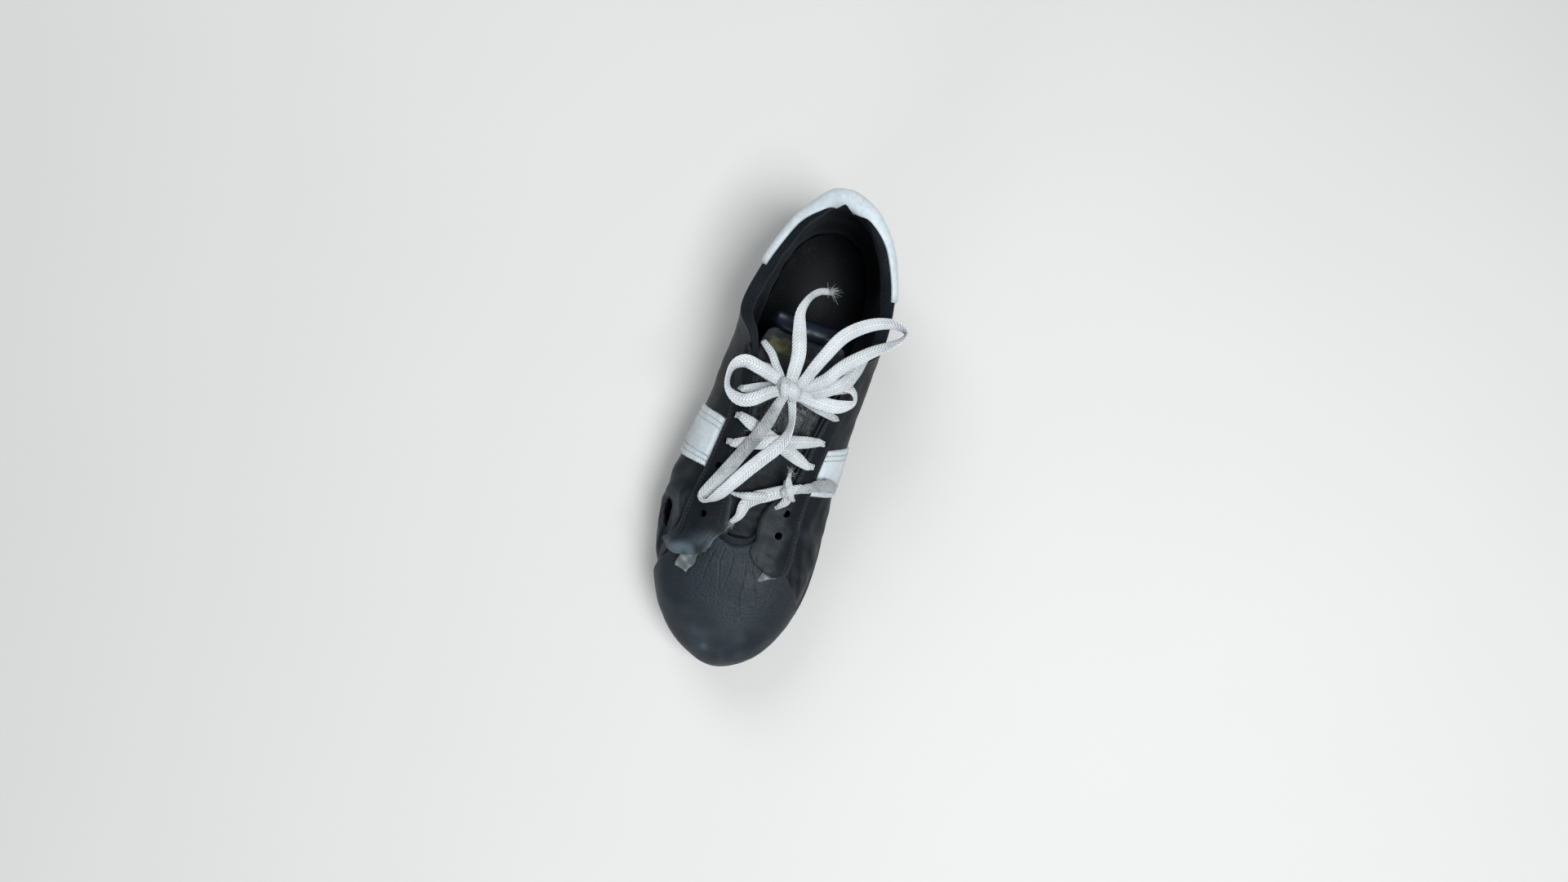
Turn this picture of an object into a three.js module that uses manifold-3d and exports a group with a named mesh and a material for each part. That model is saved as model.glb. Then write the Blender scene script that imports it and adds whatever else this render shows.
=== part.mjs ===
// A worn low-top court shoe for the right foot, standing empty on its rubber cup sole.
// Millimetres. +X runs from heel to toe, +Y to the inner side of the foot, +Z up from the floor.
// The wall of the upper is one function of two numbers: s runs round the shoe by section rows
// (heel, outer side, toe, inner side) and w runs round the wall (outside, rim, inside).
import * as THREE from "three";
import Module from "manifold-3d";

const wasm = await Module();
wasm.setup();

// Driving sizes.
const LENGTH = 284;
const BALL_WIDTH = 98;
const HEEL_HEIGHT = 86;
const WALL = 2.2;
const COLLAR_PAD = 5;
const CUP_WALL = 4;
const INSOLE_THICKNESS = 3;
const TONGUE_THICKNESS = 3.5;
const TOE_CAP_THICKNESS = 2;
const STAY_THICKNESS = 1.5;
const TAB_THICKNESS = 1.3;
const BAND_THICKNESS = 1.1;
const LACE_WIDTH = 8;
const LACE_THICKNESS = 1.6;
const EYELET_RADIUS = 2.2;
const TREAD_DEPTH = 2;
const TREAD_WIDTH = 3.4;
const GAP = 0.35;

// How the surfaces are divided.
const STEPS_PER_ROW = 3;
const RIM_W = 0.12;
const OUTER_W = [0, RIM_W, 0.18, 0.26, 0.35, 0.45, 0.55, 0.65, 0.75, 0.84, 0.92, 1];
const WALL_W = [...OUTER_W, 1.33, 1.67, 2, 2.08, 2.25, 2.45, 2.65, 2.88, 3];

/** Turn rows of numbers into objects with named columns. */
function table(columns, rows) {
  return rows.map((row) => Object.fromEntries(columns.map((name, i) => [name, row[i]])));
}

// Cup sole by section, heel to toe. along: share of LENGTH. lateral, medial: edge of the sole as a
// share of BALL_WIDTH. ground, bed, rim: heights of the underside, the footbed and the cup's rim.
const SOLE_ROWS = table(
  ["along", "lateral", "medial", "ground", "bed", "rim"],
  [
    [0.0, 0.051, 0.051, 3.2, 15, 25.4],
    [0.014, -0.092, 0.194, 2.2, 15, 25.4],
    [0.049, -0.204, 0.306, 0.7, 15, 25.2],
    [0.106, -0.281, 0.378, 0, 14.8, 24.8],
    [0.19, -0.327, 0.416, 0, 14.4, 24.2],
    [0.296, -0.358, 0.408, 0, 13.4, 23.4],
    [0.408, -0.396, 0.397, 2.6, 11.8, 22.2],
    [0.521, -0.45, 0.427, 1.5, 10.2, 21.2],
    [0.627, -0.491, 0.475, 0, 9.4, 20.6],
    [0.725, -0.503, 0.496, 0, 9.4, 20.6],
    [0.817, -0.469, 0.478, 0.9, 10.2, 21.4],
    [0.894, -0.388, 0.408, 3.4, 12.2, 23.2],
    [0.951, -0.265, 0.306, 6.4, 14.6, 25.2],
    [0.986, -0.117, 0.173, 8.8, 16.6, 26.8],
    [1.0, 0.031, 0.031, 9.6, 17.4, 27.4],
  ],
);

// Edge of the opening (collar, then throat) for the same sections, heel to toe, on each side.
// along: share of LENGTH. side: share of BALL_WIDTH. height: share of HEEL_HEIGHT.
// flare, rise: how far the wall swells out and up as it leaves the cup.
// reach, drop: how far the wall still lies outside and below the edge just before it meets it.
// pad: share of the collar padding.
const EDGE_COLUMNS = ["along", "side", "height", "flare", "rise", "reach", "drop", "pad"];
const LATERAL_EDGE = table(EDGE_COLUMNS, [
  [0.02, 0.041, 1.0, 4, 18, 4, 22, 1],
  [0.028, -0.046, 0.994, 4, 18, 3.5, 22, 1],
  [0.054, -0.118, 0.977, 4, 18, 2.5, 22, 1],
  [0.098, -0.216, 0.93, 4.5, 18, 1, 21, 1],
  [0.19, -0.322, 0.849, 6.5, 17, 0, 20, 1],
  [0.282, -0.374, 0.779, 10, 15, 0, 17, 0.9],
  [0.348, -0.255, 0.872, 14.5, 14, 8, 16, 0.45],
  [0.472, -0.16, 0.837, 16, 13, 13, 9, 0],
  [0.577, -0.163, 0.779, 20, 12, 16, 6, 0],
  [0.658, -0.158, 0.721, 19.5, 12, 17, 4, 0],
  [0.704, -0.138, 0.686, 13, 14, 20, 4, 0],
  [0.718, -0.112, 0.677, 9, 16, 24, 4.5, 0],
  [0.723, -0.085, 0.674, 6, 18, 28, 5, 0],
  [0.725, -0.056, 0.673, 4, 20, 31, 5.5, 0],
  [0.726, -0.034, 0.672, 3.5, 21, 32, 5.5, 0],
]);
const MEDIAL_EDGE = table(EDGE_COLUMNS, [
  [0.02, 0.041, 1.0, 4, 18, 4, 22, 1],
  [0.026, 0.133, 0.994, 4, 18, 3.5, 22, 1],
  [0.048, 0.25, 0.965, 4, 18, 2.5, 22, 1],
  [0.1, 0.375, 0.919, 5, 18, 1, 21, 1],
  [0.19, 0.475, 0.82, 9, 17, 0, 19, 1],
  [0.292, 0.482, 0.767, 18, 15, 1, 17, 0.9],
  [0.348, 0.352, 0.86, 23, 14, 8, 16, 0.45],
  [0.479, 0.25, 0.826, 19, 13, 13, 9, 0],
  [0.577, 0.199, 0.767, 12, 13, 16, 6, 0],
  [0.662, 0.133, 0.715, 10, 13, 17, 4, 0],
  [0.706, 0.082, 0.686, 8, 14, 20, 4, 0],
  [0.72, 0.046, 0.677, 6, 16, 24, 4.5, 0],
  [0.724, 0.015, 0.674, 5, 18, 28, 5, 0],
  [0.725, -0.01, 0.673, 4, 20, 31, 5.5, 0],
  [0.726, -0.034, 0.672, 3.5, 21, 32, 5.5, 0],
]);

// Side of the cup sole from the tread edge up. share: of the height from ground to rim.
// out: how far the ring stands outside (+) or inside (-) the sole's plan outline.
const SIDE_RINGS = table(
  ["share", "out"],
  [
    [0.0, -2.4],
    [0.1, -0.2],
    [0.4, 0],
    [0.43, -0.7],
    [0.47, -0.7],
    [0.5, 0],
    [0.74, -0.2],
    [0.77, -1.1],
    [0.83, -1.1],
    [0.86, -0.3],
    [1.0, -1.1],
  ],
);

// Lace stay, from the top eyelet to its loose front end: section row and w of its two edges.
// lift: how far it has come off the wall.
const STAY_ROWS = table(
  ["innerS", "innerW", "outerS", "outerW", "lift"],
  [
    [6, 0.985, 6, 0.8, 0],
    [6.333, 0.985, 6.333, 0.8, 0],
    [6.667, 0.985, 6.667, 0.8, 0],
    [7, 0.985, 7, 0.8, 0],
    [7.333, 0.985, 7.333, 0.8, 0],
    [7.667, 0.985, 7.667, 0.8, 0],
    [8, 0.985, 8, 0.79, 0],
    [8.333, 0.985, 8.333, 0.77, 0],
    [8.667, 0.985, 8.667, 0.74, 0],
    [9, 0.985, 9, 0.71, 0],
    [9.667, 0.985, 9.333, 0.69, 0.5],
    [10.333, 0.98, 9.667, 0.67, 2.1],
    [11, 0.965, 10, 0.66, 3],
    [11.667, 0.94, 10.333, 0.66, 3.4],
    [12.333, 0.91, 10.8, 0.68, 4],
  ],
);

// Heel tab from the heel's centre to its end on either side: lowest w of its skirt, and last w inside the collar.
const TAB_ROWS = table(
  ["s", "low", "high"],
  [
    [0, 0.5, 2],
    [1, 0.53, 2],
    [2, 0.62, 1.7],
    [3, 0.75, 1.5],
    [4, 0.9, 1.42],
  ],
);

// Eyelets of one side, top to front: section row and w.
const EYELET_ROWS = table(
  ["s", "w"],
  [
    [6.28, 0.895],
    [6.72, 0.895],
    [7.17, 0.895],
    [7.67, 0.895],
    [8.2, 0.895],
    [8.8, 0.895],
    [9.5, 0.86],
  ],
);

// Laces as flat tape. roll: degrees that the tape leans from lying flat.
const TAPE = ["x", "y", "z", "roll"];
const LACE_KNOT = { centre: [-22, 3, 83.4], radii: [9, 8, 4.6] };
const FRONT_KNOT = { centre: [29.5, 19, 69.6], radii: [5, 5.5, 3.2] };
const LACE_ROUTES = {
  lace_end_rear: table(TAPE, [
    [-31.5, -0.5, 84.6, 0],
    [-42, 1.5, 86.5, 0],
    [-53, 2, 86.5, 10],
    [-64, -0.7, 85, 20],
    [-73, 0.2, 83, 10],
    [-80, 4.5, 79.5, 0],
    [-81, 9, 77, 0],
  ]),
  lace_loop_medial_long: table(TAPE, [
    [-29, 9.2, 85, 0],
    [-43, 15.5, 87.5, 10],
    [-58, 23.5, 87, 20],
    [-68.5, 35.5, 84, 35],
    [-73.5, 48, 80.5, 60],
    [-71.5, 56.5, 79, 85],
    [-65, 53, 79.5, 60],
    [-54.5, 40, 81.5, 25],
    [-43.5, 28.5, 83.5, 10],
    [-33, 20.5, 84, 0],
  ]),
  lace_loop_medial_short: table(TAPE, [
    [-20.5, 11.4, 83.5, 0],
    [-19, 24, 82, 5],
    [-22, 34.5, 79, 30],
    [-29, 40, 79, 75],
    [-36.5, 38, 80, 60],
    [-37.5, 30, 80.8, 20],
    [-33, 22.5, 81, 5],
    [-26.5, 15.5, 81.2, 0],
  ]),
  lace_loop_lateral: table(TAPE, [
    [-18.2, -6, 83.5, 0],
    [-11.5, -15.5, 82, 0],
    [-10.5, -23, 79.5, 20],
    [-16, -30.5, 77, 70],
    [-25.5, -31, 77.8, 70],
    [-31, -25, 80.6, 25],
    [-29.5, -16, 82.2, 5],
    [-26.5, -6.2, 82.8, 0],
  ]),
  lace_strand_outer: table(TAPE, [
    [-12.4, -0.8, 83, 0],
    [-4, -3, 80.8, 0],
    [7.1, -7.8, 77.5, 0],
    [22.9, -14.9, 73, 0],
    [36, -21.9, 68, 0],
    [45, -27.5, 64, 0],
  ]),
  lace_strand_inner: table(TAPE, [
    [-14.2, 7.4, 82.2, 0],
    [-6, 11, 80.5, 0],
    [3.7, 11.5, 79.6, 0],
    [15.6, 6.1, 78.2, 0],
    [27.9, -3.4, 73.8, 0],
    [39.5, -12, 69.4, 0],
    [47.5, -17.5, 67, 0],
  ]),
  lace_broken_outer: table(TAPE, [
    [32, 14, 68.6, 0],
    [36, 7, 66, 0],
    [39, 1.5, 64, 0],
    [44, -3, 62, 0],
    [51, -4.5, 60.6, 0],
    [56, -8, 60.4, 0],
  ]),
  lace_broken_inner: table(TAPE, [
    [27.8, 24.4, 68.4, 0],
    [24.5, 31, 65.8, 0],
    [22, 36, 61.8, 0],
    [20.5, 40.5, 57, 0],
    [21.5, 44.5, 50.5, 0],
  ]),
};

// Tear through the upper beside the little toe: section row, w, half length and half width.
const TEAR = { s: 9.15, w: 0.5, halfLength: 8, halfWidth: 3.2 };

const ROWS = SOLE_ROWS.length;
const LAST = ROWS - 1;
const RING = 2 * LAST;
const AROUND = RING * STEPS_PER_ROW;

/** One row of the closed ring of sections: outer side heel to toe, then inner side back. */
function ringRow(index) {
  const isLateral = index <= LAST;
  const station = isLateral ? index : RING - index;
  const sole = SOLE_ROWS[station];
  const edge = (isLateral ? LATERAL_EDGE : MEDIAL_EDGE)[station];
  return {
    x: (sole.along - 0.5) * LENGTH,
    y: (isLateral ? sole.lateral : sole.medial) * BALL_WIDTH,
    ground: sole.ground,
    bed: sole.bed,
    rim: sole.rim,
    edgeX: (edge.along - 0.5) * LENGTH,
    edgeY: edge.side * BALL_WIDTH,
    edgeZ: edge.height * HEEL_HEIGHT,
    flare: edge.flare,
    rise: edge.rise,
    reach: edge.reach,
    drop: edge.drop,
    pad: edge.pad,
  };
}

const RING_ROWS = Array.from({ length: RING }, (_, i) => ringRow(i));

/** Smooth value of a column at section s, through the closed ring of rows. */
function at(column, s) {
  const turn = ((s % RING) + RING) % RING;
  const i = Math.floor(turn);
  const f = turn - i;
  const value = (k) => RING_ROWS[(i + k + RING) % RING][column];
  const [a, b, c, d] = [value(-1), value(0), value(1), value(2)];
  const slopeB = (c - a) / 2;
  const slopeC = (d - b) / 2;
  const f2 = f * f;
  const f3 = f2 * f;
  return (2 * f3 - 3 * f2 + 1) * b + (f3 - 2 * f2 + f) * slopeB + (3 * f2 - 2 * f3) * c + (f3 - f2) * slopeC;
}

/** Horizontal direction pointing out of the sole's outline at s. */
function outward(s) {
  const step = 0.05;
  const dx = at("x", s + step) - at("x", s - step);
  const dy = at("y", s + step) - at("y", s - step);
  return new THREE.Vector3(dy, -dx, 0).normalize();
}

/** Point at height z, the given distance outside the sole's outline. */
function beside(s, out, z) {
  return new THREE.Vector3(at("x", s), at("y", s), z).addScaledVector(outward(s), out);
}

/** Outside of the upper: w 0 at the feather edge in the cup, RIM_W at the rim, 1 at the opening. */
function outside(s, w) {
  const inset = -(CUP_WALL + GAP);
  const foot = beside(s, inset, at("bed", s) + GAP);
  const rim = beside(s, inset, at("rim", s) + GAP);
  if (w <= RIM_W) {
    return foot.lerp(rim, w / RIM_W);
  }
  const edge = new THREE.Vector3(at("edgeX", s), at("edgeY", s), at("edgeZ", s));
  const out = outward(s);
  const low = rim.clone().addScaledVector(out, at("flare", s));
  low.z += at("rise", s);
  const high = edge.clone().addScaledVector(out, at("reach", s));
  high.z -= at("drop", s);
  return new THREE.CubicBezierCurve3(rim, low, high, edge).getPoint((w - RIM_W) / (1 - RIM_W));
}

/** Thickness of the wall at (s, w): leather and lining, swelling into the padded collar. */
function thickness(s, w) {
  const rise = THREE.MathUtils.smoothstep(w, 0.5, 0.92);
  return WALL + COLLAR_PAD * THREE.MathUtils.clamp(at("pad", s), 0, 1) * rise;
}

/** Outward normal of the outside at (s, w). */
function outsideNormal(s, w) {
  const ds = 0.04;
  const low = Math.max(w - 0.01, 0);
  const high = Math.min(w + 0.01, 1);
  const along = outside(s + ds, w).sub(outside(s - ds, w));
  const up = outside(s, high).sub(outside(s, low));
  return along.cross(up).normalize();
}

/** Skin of the wall: w 0 to 1 outside, 1 to 2 over the rim, 2 to 3 down the inside. */
function skin(s, w) {
  if (w <= 1) {
    return outside(s, w);
  }
  if (w >= 2) {
    const t = 3 - w;
    return outside(s, t).addScaledVector(outsideNormal(s, t), -thickness(s, t));
  }
  const normal = outsideNormal(s, 1);
  const up = outside(s, 1).sub(outside(s, 0.98)).normalize();
  const half = thickness(s, 1) / 2;
  const angle = Math.PI * (w - 1);
  const point = outside(s, 1).addScaledVector(normal, half * (Math.cos(angle) - 1));
  return point.addScaledVector(up, half * 0.75 * Math.sin(angle));
}

/** Skin of the wall raised by lift along its own normal. */
function raised(s, w, lift) {
  const ds = 0.04;
  const dw = 0.012;
  const along = skin(s + ds, w).sub(skin(s - ds, w));
  const across = skin(s, Math.min(w + dw, 3)).sub(skin(s, Math.max(w - dw, 0)));
  return skin(s, w).addScaledVector(along.cross(across).normalize(), lift);
}

/** Closed geometry from vertices and triangles, turned so that its faces point out. */
function closedGeometry(vertices, triangles) {
  let volume = 0;
  for (const [a, b, c] of triangles) {
    volume += vertices[a].dot(vertices[b].clone().cross(vertices[c]));
  }
  const facing = volume < 0 ? triangles.map(([a, b, c]) => [a, c, b]) : triangles;
  const geometry = new THREE.BufferGeometry();
  const flat = vertices.flatMap((v) => [v.x, v.y, v.z]);
  geometry.setAttribute("position", new THREE.Float32BufferAttribute(flat, 3));
  geometry.setIndex(facing.flat());
  geometry.computeVertexNormals();
  return geometry;
}

/** Two triangles for the square between four vertices. */
function square(a, b, c, d) {
  return [
    [a, b, c],
    [a, c, d],
  ];
}

/** Closed rings joined one to the next, and the last to the first: a wall bent into a ring. */
function ringWall(rings) {
  const count = rings[0].length;
  const triangles = [];
  rings.forEach((_, k) => {
    const below = k * count;
    const above = ((k + 1) % rings.length) * count;
    for (let i = 0; i < count; i += 1) {
      const j = (i + 1) % count;
      triangles.push(...square(below + i, below + j, above + j, above + i));
    }
  });
  return closedGeometry(rings.flat(), triangles);
}

/** Triangles that close a ring of sections straight across, outer side to inner side. */
function across(start, count, flipped) {
  const half = count / 2;
  const triangles = [];
  for (let i = 0; i < half; i += 1) {
    const [a, b] = [i, i + 1];
    const [c, d] = [count - i - 1, (count - i) % count];
    if (b !== c) {
      triangles.push([a, b, c]);
    }
    if (d !== a) {
      triangles.push([a, c, d]);
    }
  }
  return triangles.map(([a, b, c]) => (flipped ? [start + a, start + b, start + c] : [start + a, start + c, start + b]));
}

/** Closed rings stacked from the underside, with both ends closed straight across. */
function stack(rings) {
  const count = rings[0].length;
  const triangles = across(0, count, false);
  for (let k = 0; k + 1 < rings.length; k += 1) {
    for (let i = 0; i < count; i += 1) {
      const j = (i + 1) % count;
      triangles.push(...square(k * count + i, k * count + j, (k + 1) * count + j, (k + 1) * count + i));
    }
  }
  triangles.push(...across((rings.length - 1) * count, count, true));
  return closedGeometry(rings.flat(), triangles);
}

/** Sheet between two grids of points, closed round its edge. */
function sheet(top, bottom) {
  const rows = top.length;
  const columns = top[0].length;
  const under = rows * columns;
  const triangles = [];
  const id = (i, j) => i * columns + j;
  for (let i = 0; i + 1 < rows; i += 1) {
    for (let j = 0; j + 1 < columns; j += 1) {
      const cell = [id(i, j), id(i + 1, j), id(i + 1, j + 1), id(i, j + 1)];
      const [a, b, c, d] = cell;
      triangles.push(...square(a, b, c, d));
      triangles.push(...square(under + d, under + c, under + b, under + a));
    }
  }
  const edge = [];
  for (let i = 0; i < rows - 1; i += 1) edge.push(id(i, 0));
  for (let j = 0; j < columns - 1; j += 1) edge.push(id(rows - 1, j));
  for (let i = rows - 1; i > 0; i -= 1) edge.push(id(i, columns - 1));
  for (let j = columns - 1; j > 0; j -= 1) edge.push(id(0, j));
  edge.forEach((a, k) => {
    const b = edge[(k + 1) % edge.length];
    triangles.push(...square(a, under + a, under + b, b));
  });
  return closedGeometry([...top.flat(), ...bottom.flat()], triangles);
}

/** Solid for cutting and joining. */
function solidOf(geometry) {
  const vertProperties = new Float32Array(geometry.attributes.position.array);
  const triVerts = new Uint32Array(geometry.index.array);
  return new wasm.Manifold(new wasm.Mesh({ numProp: 3, vertProperties, triVerts }));
}

/** Geometry of a cut or joined solid. */
function geometryOf(solid) {
  const mesh = solid.getMesh();
  const geometry = new THREE.BufferGeometry();
  geometry.setAttribute("position", new THREE.Float32BufferAttribute(mesh.vertProperties, 3));
  geometry.setIndex([...mesh.triVerts]);
  geometry.computeVertexNormals();
  return geometry;
}

/** Geometry with every tool cut out of it. */
function cut(geometry, tools) {
  return geometryOf(tools.reduce((solid, tool) => solid.subtract(solidOf(tool)), solidOf(geometry)));
}

/** Merged, indexed copy of a swept or turned shape, with its place baked in. */
function welded(geometry, matrix) {
  const source = geometry.index ? geometry.toNonIndexed() : geometry;
  source.applyMatrix4(matrix);
  const place = source.attributes.position;
  const seen = new Map();
  const vertices = [];
  const ids = Array.from({ length: place.count }, (_, i) => {
    const v = new THREE.Vector3().fromBufferAttribute(place, i);
    const key = [v.x, v.y, v.z].map((n) => Math.round(n * 1000)).join();
    if (!seen.has(key)) {
      seen.set(key, vertices.length);
      vertices.push(v);
    }
    return seen.get(key);
  });
  const triangles = [];
  for (let i = 0; i < ids.length; i += 3) {
    const corner = [ids[i], ids[i + 1], ids[i + 2]];
    if (new Set(corner).size === 3) {
      triangles.push(corner);
    }
  }
  return closedGeometry(vertices, triangles);
}

/** Short prism through the wall at (s, w), for a hole of the given plan shape. */
function punch(s, w, shape, depth) {
  const foot = skin(s, w);
  const normal = raised(s, w, 1).sub(foot).normalize();
  const along = skin(s + 0.04, w).sub(skin(s - 0.04, w));
  const side = along.addScaledVector(normal, -along.dot(normal)).normalize();
  const matrix = new THREE.Matrix4().makeBasis(side, normal.clone().cross(side), normal);
  matrix.setPosition(foot.addScaledVector(normal, -depth / 2));
  return welded(new THREE.ExtrudeGeometry(shape, { depth, bevelEnabled: false, curveSegments: 3 }), matrix);
}

/** Rows of the ring at the division used by every ring-shaped piece. */
function around(pointAt) {
  return Array.from({ length: AROUND }, (_, i) => pointAt(i / STEPS_PER_ROW));
}

/** Cup sole: side rings, rim, inner wall and footbed, with tread slots cut into its flat spots. */
function cupSole() {
  const ground = (s) => Math.max(at("ground", s), 0);
  const rings = SIDE_RINGS.map(({ share, out }) =>
    around((s) => beside(s, out, THREE.MathUtils.lerp(ground(s), at("rim", s), share))),
  );
  rings.push(around((s) => beside(s, -CUP_WALL, at("rim", s))));
  rings.push(around((s) => beside(s, -CUP_WALL, at("bed", s))));
  const slots = [];
  const treads = [
    { first: 27, pitch: 9.4, count: 5, lean: 3 },
    { first: -106, pitch: 9.4, count: 5, lean: -3 },
  ];
  for (const { first, pitch, count, lean } of treads) {
    for (let k = 0; k < count; k += 1) {
      const x = first + pitch * k;
      const [from, to] = [edgeAt(x, 0) + 9, edgeAt(x, RING) - 9];
      const bend = new THREE.Shape();
      const mid = (from + to) / 2;
      bend.moveTo(x, from);
      bend.lineTo(x + lean, mid);
      bend.lineTo(x, to);
      bend.lineTo(x + TREAD_WIDTH, to);
      bend.lineTo(x + TREAD_WIDTH + lean, mid);
      bend.lineTo(x + TREAD_WIDTH, from);
      const depth = TREAD_DEPTH + 2;
      const slot = new THREE.ExtrudeGeometry(bend, { depth, bevelEnabled: false });
      slots.push(welded(slot, new THREE.Matrix4().makeTranslation(0, 0, -2)));
    }
  }
  return cut(stack(rings), slots);
}

/** Y of the sole's outline at x, searched from the heel along one side of the ring. */
function edgeAt(x, start) {
  const step = start === 0 ? 0.02 : -0.02;
  let s = start;
  while (at("x", s) < x) {
    s += step;
  }
  return at("y", s);
}

/** Insole: a flat sheet lying in the cup, inside the foot of the upper. */
function insole() {
  const inset = -(CUP_WALL + WALL + 2 * GAP + 0.1);
  const low = (s) => beside(s, inset, at("bed", s) + GAP);
  const high = (s) => beside(s, inset, at("bed", s) + GAP + INSOLE_THICKNESS);
  return stack([around(low), around(high)]);
}

/** Holes for the lace in one side of the upper and its stay. */
function eyelets(mirrored) {
  const hole = new THREE.Shape().absarc(0, 0, EYELET_RADIUS, 0, 2 * Math.PI);
  return EYELET_ROWS.map(({ s, w }) => punch(mirrored ? RING - s : s, w, hole, 12));
}

/** Tear beside the little toe. */
function tear() {
  const { s, w, halfLength, halfWidth } = TEAR;
  const shape = new THREE.Shape();
  shape.moveTo(-halfLength, 0);
  shape.quadraticCurveTo(0, 2 * halfWidth, halfLength, halfWidth * 0.3);
  shape.quadraticCurveTo(0, -1.7 * halfWidth, -halfLength, 0);
  return punch(s, w, shape, 12);
}

/** Upper: one wall bent into a ring, open above and below, with its lace holes and its tear. */
function upper() {
  const rings = WALL_W.map((w) => around((s) => skin(s, w)));
  return cut(ringWall(rings), [...eyelets(false), ...eyelets(true), tear()]);
}

/** Overlay lying on the skin over a grid of [s, w, lift] cells. */
function overlay(grid, thick) {
  const top = grid.map((row) => row.map(([s, w, lift]) => raised(s, w, GAP + lift + thick)));
  const bottom = grid.map((row) => row.map(([s, w, lift]) => raised(s, w, GAP + lift)));
  return sheet(top, bottom);
}

/** Numbers from a to b inclusive. */
function span(a, b, count) {
  return Array.from({ length: count }, (_, i) => a + ((b - a) * i) / (count - 1));
}

/** Toe cap, from just above the rim of the cup up to the front of the throat. */
function toeCap() {
  const first = 10 + 1 / 3;
  const last = RING - first;
  const count = Math.round((last - first) * STEPS_PER_ROW) + 1;
  const rows = OUTER_W.filter((w) => w > RIM_W && w < 0.99);
  const grid = span(first, last, count).map((s) => {
    const nose = Math.sin((Math.PI * (s - first)) / (last - first));
    return [0.17 - 0.025 * nose, ...rows].map((w) => [s, w, 0]);
  });
  return overlay(grid, TOE_CAP_THICKNESS);
}

/** Lace stay of one side, with its holes and its lifted front end. */
function stay(mirrored) {
  const grid = STAY_ROWS.map(({ innerS, innerW, outerS, outerW, lift }) =>
    span(0, 1, 5).map((f) => {
      const s = THREE.MathUtils.lerp(outerS, innerS, f);
      return [mirrored ? RING - s : s, THREE.MathUtils.lerp(outerW, innerW, f), lift];
    }),
  );
  return cut(overlay(grid, STAY_THICKNESS), eyelets(mirrored));
}

/** Heel tab, wrapped over the collar and down its inside. */
function heelTab() {
  const end = TAB_ROWS[TAB_ROWS.length - 1].s;
  const rowAt = (column, s) => {
    const k = TAB_ROWS.findIndex((row) => row.s >= Math.abs(s) - 1e-6);
    const [a, b] = [TAB_ROWS[Math.max(k - 1, 0)], TAB_ROWS[k]];
    const f = a === b ? 0 : (Math.abs(s) - a.s) / (b.s - a.s);
    return THREE.MathUtils.lerp(a[column], b[column], f);
  };
  const count = Math.round(2 * end * STEPS_PER_ROW) + 1;
  const grid = span(-end, end, count).map((s) => {
    const high = rowAt("high", s);
    const middle = high > 1.67 ? 1.67 : (1.33 + high) / 2;
    return [...span(rowAt("low", s), 1, 5), 1.33, middle, high].map((w) => [s, w, 0]);
  });
  return overlay(grid, TAB_THICKNESS);
}

/** Plain saddle band of one side, from the lace stay down to the cup, leaning back as it falls. */
function sideBand(mirrored) {
  const grid = span(-0.5, 0.5, 5).map((side) =>
    OUTER_W.filter((w) => w > RIM_W + 0.03 && w < 0.78).map((w) => {
      const s = 6.9 + (0.8 * (w - RIM_W)) / (0.75 - RIM_W) + side;
      return [mirrored ? RING - s : s, w, 0];
    }),
  );
  return overlay(grid, BAND_THICKNESS);
}

/** Tongue: a sheet hung under the throat from both sides of the upper's own inside. */
function tongue() {
  const under = GAP + 0.5;
  const tops = [];
  const row = (s) => {
    const hang = (side, w) => raised(side, w, under);
    const [outerEdge, outerLip] = [hang(s, 2.12), hang(s, 2.02)];
    const [innerLip, innerEdge] = [hang(RING - s, 2.02), hang(RING - s, 2.12)];
    const middle = span(0, 1, 6).map((f) => {
      const point = outerLip.clone().lerp(innerLip, f);
      point.z += 4 * 1.2 * f * (1 - f);
      return point;
    });
    return [outerEdge, ...middle, innerEdge];
  };
  const sections = [6.2, 6.6, 7, 7.5, 8, 8.5, 9, 9.5, 10, 10.8];
  const free = table(
    ["back", "fall", "narrow"],
    [
      [18, 4, 0.82],
      [11, 1, 0.895],
      [5, 0, 0.94],
    ],
  );
  const first = row(sections[0]);
  const centre = first[0].clone().lerp(first[first.length - 1], 0.5);
  for (const { back, fall, narrow } of free) {
    const moved = first.map((p) => {
      const q = p.clone();
      q.y = centre.y + (p.y - centre.y) * narrow;
      q.x -= back;
      q.z -= fall;
      return q;
    });
    tops.push(moved);
  }
  tops.push(first, ...sections.slice(1).map(row));
  const bottoms = tops.map((points) => points.map((p) => p.clone().setZ(p.z - TONGUE_THICKNESS)));
  return sheet(tops, bottoms);
}

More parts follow.
